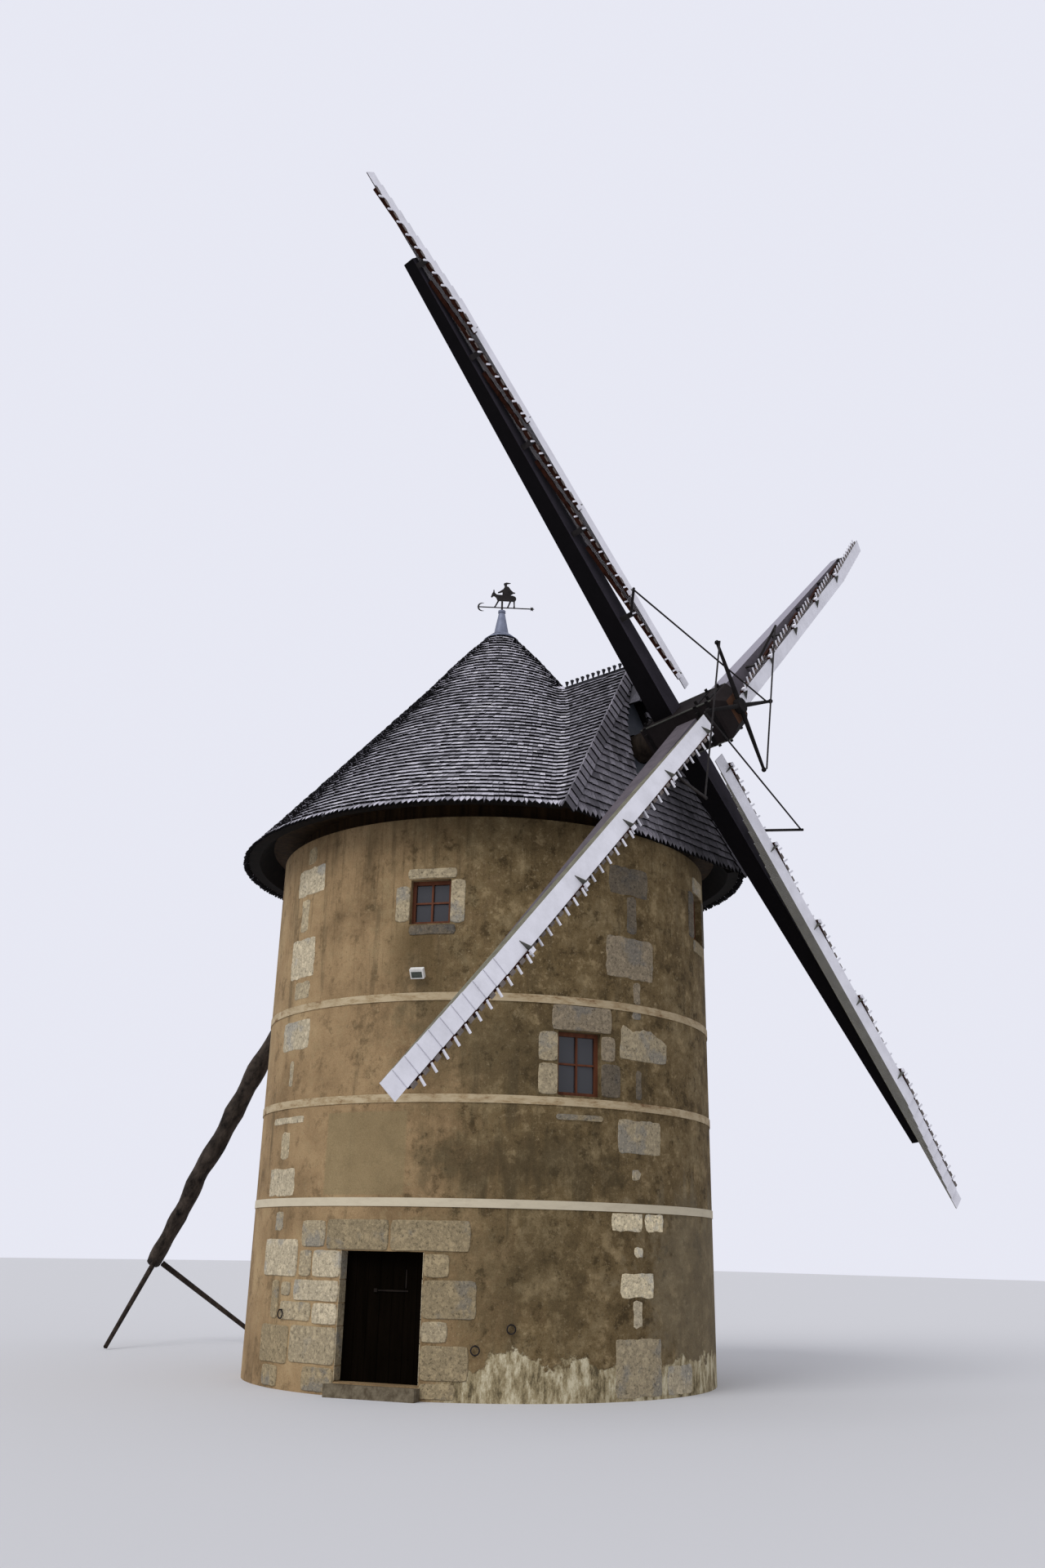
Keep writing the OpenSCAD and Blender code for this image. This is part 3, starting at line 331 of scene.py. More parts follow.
# The wall's weather and the painted shade under the eave: a soft change's start and end in angle or height,
# or a patch's left, right, foot and top
LEE_TURN = (176, 118)
DAMP_TURN = (-70, -30)
WET_TURN = (-80, -30)
RUNS_Z = (4.5, 7.5)
# Painted shade under the eave: its heights, then its angles
EAVE_SHADE_Z = (7.9, 9.2)
EAVE_SHADE_TURN = (-110, -50)
STAIN = (-70, -56, 5.9, 6.9)
DARK_SPOTS = {
    (-54, -12, 2.85, 3.7): 0.7,
    (-50, -8, 4.3, 5.7): 0.45,
    (-60, -44, 5, 5.9): 0.5,
    (-50, -22, 0.9, 2.4): 0.4,
}
DRY_SPOT = (-4, 60, 0.3, 2.75)
MENDED = (-85, -64, 2.8, 4.03)
BARE_TURN = (-58, -50)
BARE_Z = (0.95, 0.7)
BARE_LESS = 0.44


def mottled(p, wall, wet, fleck, speck):
    """Light and dark flecks, full where the wall is wet."""
    for value, limits, tone in (
        (fleck, (0.52, 0.64, 0, 0.75), (146, 127, 94)), (fleck, (0.36, 0.48, 0.85, 0), (62, 50, 31)),
        (speck, (0.56, 0.7, 0, 0.5), (166, 148, 116)), (speck, (0.32, 0.44, 0.55, 0), (54, 44, 29)),
    ):
        wall = p.over(wall, p.times(p.level(value, *limits), wet), tone)
    return wall


def weathered_and_shaded(p, wall, turn, edge, z, drip, cloud):
    """Painted shade under the eave, and the weather: the stain beside the middle window, dark and dry spots,
    the mended patch.
    """
    # Painted shade: a darker band under the eave, stronger at the larger angles round the tower
    eave_shade = p.times(p.level(drip, *EAVE_SHADE_Z, 0, 0.6), p.level(turn, *EAVE_SHADE_TURN, 0.35, 1))
    wall = p.over(wall, eave_shade, (80, 66, 44))
    wall = p.over(wall, p.times(p.patch(turn, drip, STAIN, 6, 0.35), 0.75), (88, 73, 48))
    for place, share in DARK_SPOTS.items():
        wall = p.over(wall, p.times(p.patch(edge, drip, place, 9, 0.4), share), (70, 60, 42))
    wall = p.over(wall, p.times(p.patch(edge, drip, DRY_SPOT, 7, 0.3), 0.42), (120, 111, 92))
    mended = p.times(p.patch(turn, z, MENDED, 0.4, 0.02), 0.75)
    return p.mix(mended, wall, p.tones(cloud, (0.35, (126, 110, 80)), (0.65, (140, 124, 92))))


def bare_share(p, turn, z, lee, blotch):
    """Where the render has fallen off at the foot of the wall."""
    foot = p.plus(p.times(p.noise(1.1, 6, 0.62), 1.7), p.times(blotch, 0.35))
    bare = p.level(p.minus(p.minus(foot, BARE_LESS), z), 0, 0.05)
    bare = p.times(p.times(bare, p.level(turn, *BARE_TURN)), lee)
    return p.times(bare, p.level(z, *BARE_Z))


def render_paint():
    """Lime render: ochre to the left of the door, damp and grey-brown to its right, bare at the foot."""
    p = Paint("lime_render", 0.92)
    streak = p.noise(1, 6, 0.65, p.stretched((3.2, 3.2, 0.3)))
    thin = p.noise(1, 5, 0.7, p.stretched((11, 11, 0.7)))
    cloud = p.noise(0.7, 6, 0.65)
    blotch = p.noise(1.9, 8, 0.72)
    fleck = p.noise(3, 10, 0.74)
    speck = p.noise(14, 5, 0.75)
    fine = p.noise(60, 3, 0.6)
    z = p.axis("Z")
    turn = p.azimuth()
    drip = p.swayed(z, streak, 3.2)
    edge = p.plus(p.swayed(turn, blotch, 70), p.times(z, 1.6))
    lee = p.level(turn, *LEE_TURN)
    ochre = p.tones(cloud, (0.34, (122, 100, 72)), (0.5, (150, 125, 92)), (0.66, (168, 144, 108)))
    damp = p.tones(blotch, (0.3, (78, 64, 42)), (0.5, (106, 89, 61)), (0.72, (136, 120, 90)))
    wall = p.mix(p.times(p.level(edge, *DAMP_TURN), lee), ochre, damp)
    wall = p.over(wall, p.times(p.level(thin, 0.52, 0.66, 0, 0.5), p.level(z, *RUNS_Z)), (84, 70, 48))
    wall = p.over(wall, p.level(streak, 0.54, 0.7, 0, 0.55), (80, 69, 50))
    wet = p.math("MAXIMUM", p.times(p.level(edge, *WET_TURN, 0.5, 1), lee), 0.5)
    wall = mottled(p, wall, wet, fleck, speck)
    wall = weathered_and_shaded(p, wall, turn, edge, z, drip, cloud)
    rubble = p.noise(1, 9, 0.76, p.stretched((6, 6, 2.2)))
    lime = p.tones(rubble, (0.38, (88, 78, 58)), (0.48, (148, 134, 103)), (0.6, (200, 190, 162)))
    bare = bare_share(p, turn, z, lee, blotch)
    wall = p.grained(p.mix(bare, wall, lime), 0.4, fine, 0.74)
    height = p.plus(p.plus(p.times(fine, 0.5), p.times(speck, 0.9)), p.times(blotch, 1.6))
    return p.finish(wall, p.minus(height, bare), 0.6, 0.014)


def stone_paint(name, tone):
    """Granite: its tone between paler clouds, greyer patches, dark pits and pale grains."""
    p = Paint(name, 0.9)
    coarse = p.noise(6, 9, 0.72)
    grit = p.noise(22, 6, 0.75)
    fine = p.noise(60, 4, 0.75)
    grey = [sum(tone) / 3 * c for c in (0.9, 0.92, 0.93)]
    pale = shaded(tone, 1.24)
    stone = p.tones(coarse, (0.4, pale), (0.5, tone), (0.61, pale))
    stone = p.over(stone, p.level(p.noise(1.7, 5, 0.6), 0.52, 0.62, 0, 0.55), grey)
    stone = p.over(stone, p.level(p.island(), 0, 1, 0, 0.3), shaded(tone, 0.78))
    stone = p.over(stone, p.level(grit, 0.36, 0.47, 0.7, 0), shaded(tone, 0.5))
    stone = p.over(stone, p.level(grit, 0.55, 0.66, 0, 0.6), shaded(tone, 1.32))
    return p.finish(p.grained(stone, 0.5, fine, 0.75), p.plus(coarse, p.times(grit, 0.6)), 0.8, 0.016)


SHINGLE_STEPS = {0: 0.62, 0.25: 0.86, 0.6: 1, 0.85: 1.07, 1: 1.16}
PALEST_SHINGLE = 244
# Painted shade: the nearly black colour given to the shingles' downward faces, the butts
BUTT_SHADE_TONE = (8, 7, 9)


def shingle_paint(name, tone, shade=0):
    """Weathered oak shingles whose butts and other downward faces get nearly black painted shade; shade, when
    given, paints shade that darkens them to the right.
    """
    p = Paint(name, 0.85)
    grain = p.noise(1, 5, 0.75, p.stretched((42, 42, 16)))
    cloud = p.noise(1.1, 5, 0.7)
    steps = [(place, shaded(tone, share, PALEST_SHINGLE)) for place, share in SHINGLE_STEPS.items()]
    face = p.tones(p.island(), *steps)
    face = p.over(face, p.level(grain, 0.4, 0.62, 0.6, 0), shaded(tone, 0.62))
    face = p.over(face, p.level(cloud, 0.52, 0.7, 0, 0.35), shaded(tone, 0.8))
    # Painted shade: the shingles darken towards the right, where the sail head shades the front face
    if shade:
        face = p.over(face, p.level(p.axis("X"), -0.7, 0.9, 0, shade), (34, 32, 34))
    # The downward faces, the butts, are painted nearly black as painted shade
    return p.finish(p.over(face, p.level(p.facing("Z"), -0.25, 0.05, 1, 0), BUTT_SHADE_TONE), grain, 0.5, 0.006)


def wood_paint(name, dark, light, roughness=0.8, scale=(9, 9, 0.8), sheen=0.12):
    """Timber whose grain runs where the scale is small."""
    p = Paint(name, roughness, 0, sheen)
    grain = p.noise(1, 6, 0.7, p.stretched(scale))
    cloud = p.noise(1.3, 4, 0.6)
    tone = p.tones(grain, (0.32, dark), (0.68, light))
    return p.finish(p.over(tone, p.level(cloud, 0.45, 0.7, 0, 0.5), dark), grain, 0.35, 0.006)


def board_paint():
    """White paint in front, dull grey-green behind."""
    p = Paint("white_boards", 0.5)
    dirt = p.noise(2.4, 6, 0.7)
    fine = p.noise(34, 4, 0.7)
    tone = p.tones(dirt, (0.3, (216, 215, 222)), (0.6, (234, 233, 241)))
    tone = p.over(tone, p.level(fine, 0.68, 0.74, 0, 0.35), (130, 124, 120))
    return p.finish(p.over(tone, p.level(p.facing("Y"), 0.5, 0.7), (78, 76, 68)), dirt, 0.15, 0.004)


def plain_paint(name, low, high, roughness=0.6, metallic=0, scale=6):
    """Iron, lead, sheet or paint between two tones."""
    p = Paint(name, roughness, metallic)
    cloud = p.noise(scale, 5, 0.65)
    return p.finish(p.tones(cloud, (0.3, low), (0.7, high)), cloud, 0.2, 0.004)


def band_paint():
    """Iron bands under old limewash: rust comes through, and the lowest band is the whitest."""
    p = Paint("iron_band", 0.75)
    rust = p.noise(3, 6, 0.75, p.stretched((1, 1, 3)))
    tone = p.tones(rust, (0.44, (180, 163, 133)), (0.56, (158, 138, 106)), (0.68, (104, 72, 44)))
    tone = p.over(tone, p.level(p.noise(0.9, 3), 0.4, 0.6, 0, 0.3), (150, 132, 104))
    tone = p.over(tone, p.level(p.axis("Z"), 4, 2.5, 0, 0.75), (205, 196, 174))
    return p.finish(tone, rust, 0.2, 0.003)


def glass_paint():
    p = Paint("window_glass", 0.08, sheen=0.5)
    p.colour((*srgb(62, 62, 66), 1))
    p.set(p.shader, Transmission_Weight=0.3, IOR=1.45)
    return p.material


def stock_paint(name, face, front, raised=None):
    """Painted beam whose front differs from its sides; raised is the tone of the arm that points up."""
    p = Paint(name, 0.8, 0, 0.04)
    grain = p.noise(5, 6, 0.7)
    side = p.tones(grain, (0.3, shaded(face, 0.8)), (0.7, face))
    if raised:
        side = p.over(side, p.level(p.axis("Z"), HUB.z + 0.6, HUB.z + 1), raised)
    ahead = p.tones(grain, (0.3, shaded(front, 0.85)), (0.7, front))
    return p.finish(p.mix(p.level(p.facing("Y"), -0.95, -0.8, 1, 0), side, ahead), grain, 0.2, 0.006)


# Paints by the record's slots
PAINTS = {
    "render_wall": render_paint(),
    "dressed_stone": stone_paint("dressed_stone", (132, 122, 102)),
    "iron_band": band_paint(),
    "old_timber": wood_paint("old_timber", (20, 15, 12), (62, 52, 44)),
    "inner_timber": wood_paint("inner_timber", (30, 20, 10), (66, 48, 28)),
    "shingles": shingle_paint("shingles", (206, 203, 215)),
    "red_timber": wood_paint("red_timber", (76, 42, 27), (108, 64, 43), 0.6),
    "glass": glass_paint(),
    "white_boards": board_paint(),
    "black_iron": plain_paint("black_iron", (20, 17, 17), (44, 40, 40), scale=8),
    "grey_sheet": plain_paint("grey_sheet", (58, 61, 68), (76, 80, 88), 0.5, scale=3),
    "lead": plain_paint("lead", (96, 100, 116), (132, 137, 156), 0.5, 0.2, 4),
    "lamp_white": plain_paint("lamp_white", (206, 204, 198), (232, 230, 226), 0.5),
}
# Paints of solids that differ from their slot's
OWN_PAINTS = {
    # The rear stock: near-black sides and a dark grey front, painted shade of the beam whose side in view
    # faces down; the front stock keeps the grey
    "rear_stock": stock_paint("dark_stock_painted_shade", (18, 16, 18), (66, 62, 70)),
    "front_stock": stock_paint("grey_stock", (102, 95, 101), (112, 106, 114), (152, 149, 160)),
    "shaft_head": stock_paint("head_timber", (40, 35, 35), (82, 56, 42)),
    "spider": plain_paint("spider_iron", (12, 10, 10), (30, 27, 27), 0.9),
    "levers": wood_paint("lever_timber", (26, 12, 8), (60, 32, 22), 0.8, (9, 9, 9), 0.04),
    "ridge_crest": plain_paint("crest_iron", (26, 25, 29), (50, 50, 56)),
    "shaft_hood": shingle_paint("hood_shingles", (96, 94, 101)),
    "cone_roof": plain_paint("roof_boards", (8, 6, 4), (24, 18, 14), 0.9),
    "ridge_roof": plain_paint("ridge_boards", (8, 6, 4), (24, 18, 14), 0.9),
    "front_face": plain_paint("face_boards", (14, 12, 12), (30, 27, 26), 0.9),
}
# Paints of the stones that show through the render
STONE_TONES = {
    # light is the pale stone's tone made lighter still, as painted light where the light on the wall falls
    # off
    "light": (198, 184, 154), "pale": (170, 158, 134), "mid": (152, 139, 114),
    "brown": (136, 122, 96), "grey": (128, 116, 97), "dark": (96, 87, 74),
}
STONES = {name: stone_paint(name + "_stone", tone) for name, tone in STONE_TONES.items()}
# Paints of the other pieces
# The ridge roof's shingles: the cone's shingles in a darker tone, as painted shade on that side of the roof
SHADED_RIDGE_PAINT = shingle_paint("ridge_shingles", (160, 157, 167))
# The front face's shingles, with painted shade darkening them towards the right under the sail head
FACE_PAINT = shingle_paint("face_shingles", (142, 138, 147), 0.72)
DOOR_PAINT = wood_paint("door_timber", (5, 3, 1), (14, 9, 5), 0.95, sheen=0.02)
STEP_PAINT = wood_paint("step_timber", (72, 62, 48), (122, 112, 94), 0.9, (9, 9, 9))
BOLT_PAINT = plain_paint("bolt_iron", (16, 12, 10), (34, 27, 22), 0.9)
LAMP_GLASS = plain_paint("lamp_glass", (58, 62, 57), (86, 91, 84), 0.4)
TRUNK_PAINT = wood_paint("trunk_bark", (10, 8, 7), (82, 72, 64), 0.9, (7, 2.6, 2.6))
DULL_PAINT = plain_paint("dull_board_edge", (104, 101, 86), (136, 133, 116), 0.7)
BLOCK_PAINT = plain_paint("hanger_iron", (88, 80, 76), (124, 116, 112), scale=12)
GREY_IRON = plain_paint("grey_iron", (70, 70, 64), (96, 96, 90))
EDGE_PAINT = wood_paint("edge_timber", (22, 14, 12), (50, 36, 32), 0.8, (5, 5, 5))


def dress_solids():
    slots = {row["node"]: row["material_slot"] for row in frame["record"]["subparts"]}
    for name, obj in frame["nodes"].items():
        obj.data.materials.clear()
        obj.data.materials.append(OWN_PAINTS.get(name, PAINTS[slots[name]]))


# How the cone's line swells over the eave and under the lead cone, and how far the valleys are swept
EAVE_SWELL_H = 0.7
EAVE_SWELL = 0.012
NECK_Z = 13.3
NECK_HALF_H = 1.1
NECK_SWELL = 0.05
SWEEP_SHARE = 0.6
SWEEP_LEAST = 0.03
SWEEP_MOST = 0.16


def cone_radius(z):
    r = EAVE_R * (1 - (z - EAVE_Z) / CONE_H)
    low = max(0, 1 - (z - EAVE_Z) / EAVE_SWELL_H)
    high = max(0, 1 - abs(z - NECK_Z) / NECK_HALF_H)
    return r + EAVE_SWELL * low * low + NECK_SWELL * high * high * (3 - 2 * high)


def gable_half(z):
    return max(0.002, GABLE_HALF_W * (1 - (z - EAVE_Z) / (RIDGE_Z - EAVE_Z)))


def front_y(z):
    return -(FRONT_FOOT - (z - EAVE_Z) * FRONT_LEAN)


def valley(z):
    """Half angle at the middle, from -Y, at which the ridge roof meets the cone."""
    return math.asin(min(1, gable_half(z) / cone_radius(z)))


def sweep_room(z):
    """How far the swept valley reaches each way from the corner."""
    side = -front_y(z) - cone_radius(z) * math.cos(valley(z))
    return max(SWEEP_LEAST, min(SWEEP_SHARE * side, SWEEP_MOST))


def roof_point(z, part, share):
    """A point of the roof's left half, on its side, sweep, cone or round part, from share 0 in front to 1."""
    r = cone_radius(z)
    if part == "round":
        angle = math.pi * share
        return Vector((-r * math.sin(angle), -r * math.cos(angle), z))
    half = gable_half(z)
    angle = valley(z)
    reach = sweep_room(z)
    corner = Vector((-half, -r * math.cos(angle), z))
    on_side = Vector((-half, corner.y - reach, z))
    start = angle + reach / r
    on_cone = Vector((-r * math.sin(start), -r * math.cos(start), z))
    if part == "side":
        return Vector((-half, front_y(z) + (on_side.y - front_y(z)) * share, z))
    if part == "sweep":
        u = share
        return (1 - u) ** 2 * on_side + 2 * u * (1 - u) * corner + u * u * on_cone
    turn = start + (math.pi - start) * share
    return Vector((-r * math.sin(turn), -r * math.cos(turn), z))


def turned_over(points, flip):
    """The points, or where flip says so their mirror images."""
    return [Vector((-p.x, p.y, p.z)) for p in points] if flip else points


# Shingles: the lift is the butt's height over the roof's line, and each play is how far one may be off
COURSE = 0.0965
COURSE_LEAST = 0.03
SHINGLE_W = 0.095
SHINGLE_PLAY = 0.28
SHINGLE_LIFT = 0.044
SHINGLE_T = 0.042
SHINGLE_LAP = 0.014
HEAD_LIFT = 0.004
LIFT_PLAY = (-0.006, 0.008)
SLIP_PLAY = (-0.012, 0.006)
SKEW_PLAY = (-0.002, 0.002)
GAPS = (0.001, 0.0015, 0.005)
TOOTH_GAP = 0.006
TOOTH = 0.085
LENGTH_STEPS = 12


def shares(length, width, play, rng):
    """Where each shingle of a course starts and ends, as shares of its length."""
    count = max(1, round(length / width))
    joints = [0] + sorted((i + rng.uniform(-play, play)) / count for i in range(1, count)) + [1]
    return zip(joints, joints[1:])


def shingle(heap, corners, out, rng, pointed=False):
    """One shingle from its corners on the roof: low left, low right, high right, high left."""
    a, b, c, d = corners
    across = (b - a).normalized()
    up = ((c + d) / 2 - (a + b) / 2).normalized()
    normal = across.cross(up)
    if normal.dot(out) < 0:
        normal = -normal
    gap = across * (TOOTH_GAP if pointed else rng.choice(GAPS))
    lift = SHINGLE_LIFT + rng.uniform(*LIFT_PLAY)
    slip = up * rng.uniform(*SLIP_PLAY)
    low_l = a + gap + slip + normal * lift
    low_r = b - gap + slip + normal * (lift + rng.uniform(*SKEW_PLAY))
    high = normal * HEAD_LIFT
    outer = [low_l, low_r, c - gap + high, d + gap + high]
    if pointed:
        outer.insert(1, (low_l + low_r) / 2 - up * TOOTH)
    inner = [p - normal * SHINGLE_T for p in outer]
    heap.slab(inner, outer)


def stretch_length(z, part):
    points = [roof_point(z, part, i / LENGTH_STEPS) for i in range(LENGTH_STEPS + 1)]
    return sum((q - p).length for p, q in zip(points, points[1:]))


def roof_stretch(heap, z0, z1, part, rng, pointed, flip):
    """One course of one part of the roof, on the left half or mirrored to the right."""
    for s0, s1 in shares(stretch_length(z0, part), SHINGLE_W, SHINGLE_PLAY, rng):
        points = [roof_point(z, part, s) for z, s in ((z0, s0), (z0, s1), (z1, s1), (z1, s0))]
        corners = turned_over(points, flip)
        middle = (corners[0] + corners[1]) / 2
        out = Vector((middle.x, middle.y * 0.2, 1)) if part == "side" else Vector((middle.x, middle.y, 2))
        shingle(heap, corners, out, rng, pointed)


def roof_shingles():
    rng = random.Random(7)
    cone, ridge = Heap(), Heap()
    count = int((CONE_TOP - EAVE_Z) / COURSE)
    for k in range(count + 1):
        z0 = EAVE_Z + k * COURSE
        z1 = min(z0 + COURSE + SHINGLE_LAP, CONE_TOP)
        if z1 - z0 < COURSE_LEAST:
            continue
        for flip in (False, True):
            if z0 >= RIDGE_Z:
                roof_stretch(cone, z0, z1, "round", rng, False, flip)
                continue
            for part, heap in (("side", ridge), ("sweep", cone), ("cone", cone)):
                z2 = min(z1, RIDGE_Z - HEAD_LIFT) if part == "side" else z1
                roof_stretch(heap, z0, z2, part, rng, k == 0, flip)
    cone.piece("cone_shingles", "cap", "shingles", PAINTS["shingles"])
    ridge.piece("ridge_shingles", "cap", "shingles", SHADED_RIDGE_PAINT)


# The skirt: how far it reaches up and down, its room over the roof, and the share of it at the top
LEAD_LAP = 0.035
LEAD_DROP = 0.115
LEAD_CLEAR = 0.075
LEAD_TOP_SHARE = 0.65


def lead_skirt():
    """Lead flared over the highest shingles, at the foot of the lead cone."""
    path = [Vector((0, 0, CONE_TOP + LEAD_LAP))]
    radii = [cone_radius(CONE_TOP)]
    for share in (0, 0.5, 1):
        z = CONE_TOP - LEAD_DROP * share
        path.append(Vector((0, 0, z)))
        radii.append(cone_radius(z) + LEAD_CLEAR * (LEAD_TOP_SHARE + (1 - LEAD_TOP_SHARE) * share))
    heap = Heap()
    heap.tube(path, radii, 40)
    heap.piece("lead_skirt", "cap", "lead", PAINTS["lead"], smooth=True)


# The front face's shingles and the opening round the windshaft that they leave free
FACE_COURSE = 0.14
FACE_LAP = 0.05
FACE_TOP_GAP = 0.03
FACE_EDGE_GAP = 0.05
FACE_SHINGLE_W = 0.12
FACE_PLAY = 0.25
FACE_PROUD = 0.002
HEAD_GAP = 0.02
HEAD_LEAST = 0.01
STRETCH_LEAST = 0.03
HOLE_STEP = 0.02
THROAT_HALF_W = 0.42
THROAT_FOOT = 9.85
THROAT_SIDE_TOP = 10.95
THROAT_TIP = 11.9


def throat_half(z):
    if z < THROAT_FOOT or z > THROAT_TIP:
        return 0.0
    if z < THROAT_SIDE_TOP:
        return THROAT_HALF_W
    return THROAT_HALF_W * (THROAT_TIP - z) / (THROAT_TIP - THROAT_SIDE_TOP)


def face_stretch(heap, z0, z1, x0, x1, rng, pointed):
    """One course of the front face between two places across."""
    limit = gable_half(z1) - HEAD_GAP
    for s0, s1 in shares(x1 - x0, FACE_SHINGLE_W, FACE_PLAY, rng):
        a, b = x0 + (x1 - x0) * s0, x0 + (x1 - x0) * s1
        c, d = max(-limit, min(limit, b)), max(-limit, min(limit, a))
        if c - d < HEAD_LEAST:
            continue
        corners = [Vector((x, front_y(z) - FACE_PROUD, z)) for x, z in ((a, z0), (b, z0), (c, z1), (d, z1))]
        shingle(heap, corners, Vector((0, -1, 0.2)), rng, pointed)


def front_shingles():
    rng = random.Random(11)
    heap = Heap()
    count = int((RIDGE_Z - EAVE_Z) / FACE_COURSE)
    for k in range(count + 1):
        z0 = EAVE_Z + k * FACE_COURSE
        z1 = min(z0 + FACE_COURSE + FACE_LAP, RIDGE_Z - FACE_TOP_GAP)
        if z1 - z0 < FACE_LAP:
            continue
        half = gable_half(z0) - FACE_EDGE_GAP
        hole = max(throat_half(z0 + HOLE_STEP * i) for i in range(9))
        stretches = [(-half, half)] if hole == 0 else [(-half, -hole), (hole, half)]
        for x0, x1 in stretches:
            if x1 - x0 >= STRETCH_LEAST:
                face_stretch(heap, z0, z1, x0, x1, rng, k == 0)
    heap.piece("front_shingles", "cap", "shingles", FACE_PAINT)


# Shingles along the front face's slopes: width, what stands over the edge, lap, lift at foot and head
ARRIS_W = 0.235
ARRIS_OUT = 0.035
ARRIS_DROP = 0.02
ARRIS_LAP = 0.05
ARRIS_SLANT = 0.03
ARRIS_LIFT = 0.068
ARRIS_HEAD_LIFT = 0.036
ARRIS_T = 0.03


def arris_shingles():
    """Short shingles that lie along the two sloping edges of the front face."""
    rng = random.Random(13)
    heap = Heap()
    low = Vector((GABLE_HALF_W, front_y(EAVE_Z), EAVE_Z))
    high = Vector((0, front_y(RIDGE_Z), RIDGE_Z))
    length = (high - low).length
    step = FACE_COURSE * length / (RIDGE_Z - EAVE_Z)
    along = (high - low).normalized()
    face = Vector((0, -1, FRONT_LEAN)).normalized()
    inward = face.cross(along)
    if inward.x > 0:
        inward = -inward
    slant = along * -ARRIS_SLANT
    sunk = face * ARRIS_HEAD_LIFT
    for flip in (False, True):
        for i in range(int(length / step)):
            foot = low + along * (i * step - ARRIS_DROP) - inward * ARRIS_OUT
            head = foot + along * (step + ARRIS_LAP)
            width = inward * (ARRIS_W + rng.uniform(-0.012, 0.012))
            lift = face * (ARRIS_LIFT + rng.uniform(-0.003, 0.003))
            outer = [foot + lift, foot + lift + width + slant, head + sunk + width, head + sunk]
            inner = [p - face * ARRIS_T for p in outer]
            heap.slab(turned_over(inner, flip), turned_over(outer, flip))
    heap.piece("arris_shingles", "cap", "shingles", FACE_PAINT)


def wall_r(z):
    return WALL_BASE_R + (WALL_TOP_R - WALL_BASE_R) * z / WALL_H


def on_wall(az, z, proud):
    """A point of the wall at an angle in degrees and a height, standing proud of it."""
    r = wall_r(z) + proud
    turn = math.radians(az)
    return Vector((r * math.cos(turn), r * math.sin(turn), z))


def spoke(az, radius, z, across=0):
    """A place at an angle and a distance from the tower's middle, X outwards."""
    return turned(az) @ moved(radius, 0, z) @ moved(0, across, 0)


# A stone of the wall: the step along its outline, the cuts of its corners and edges, and how deep it is set
DEGREE_LEN = math.radians(1) * WALL_BASE_R
OUTLINE_STEP = 0.09
CORNER_CUT = 0.025
EDGE_CUT = 0.012
STONE_SUNK = 0.03
CHAIN_PROUD = 0.006
CHAIN_RAGGED = 0.03


def stone_outline(corners, middle_az, middle_z, rng, ragged):
    """A ragged line through the corners, each point with its distance from the middle, in metres."""
    shape = []
    for (a0, h0), (a1, h1) in zip(corners, corners[1:] + corners[:1]):
        n = max(3, round(math.hypot((a1 - a0) * DEGREE_LEN, h1 - h0) / OUTLINE_STEP))
        for i in range(n):
            t = i / n
            inset = CORNER_CUT if i == 0 else 0.0
            x = ((a0 + (a1 - a0) * t) - middle_az) * DEGREE_LEN
            y = (h0 + (h1 - h0) * t) - middle_z
            size = math.hypot(x, y)
            share = 1 - (inset + rng.uniform(0, ragged)) / size
            shape.append((x * share, y * share, size))
    return shape


def wall_patch(heap, corners, rng, proud, ragged=CHAIN_RAGGED):
    """A flat stone whose outline runs through the corners, given as angle and height."""
    middle_az = sum(c[0] for c in corners) / len(corners)
    middle_z = sum(c[1] for c in corners) / len(corners)
    shape = stone_outline(corners, middle_az, middle_z, rng, ragged)
    n = len(shape)
    points = []
    rings = (
        (0, 1, -STONE_SUNK), (0, 1, proud * 0.3), (EDGE_CUT, 1, proud),
        (0, 0.66, proud), (0, 0.33, proud),
    )
    for inward, share, lift in rings:
        for x, y, size in shape:
            scale = share - inward / size
            points.append(on_wall(middle_az + x * scale / DEGREE_LEN, middle_z + y * scale, lift))
    points.append(on_wall(middle_az, middle_z, proud))
    faces = [list(range(n))[::-1]]
    last = (len(rings) - 1) * n
    for start in range(0, last, n):
        faces += quads(start, n)
    faces += [[last + i, last + (i + 1) % n, last + n] for i in range(n)]
    heap.add(points, faces)


def wall_stone(heap, az0, az1, z0, z1, rng, proud=CHAIN_PROUD, ragged=CHAIN_RAGGED):
    """A stone between two angles and two heights."""
    wall_patch(heap, [(az0, z0), (az1, z0), (az1, z1), (az0, z1)], rng, proud, ragged)


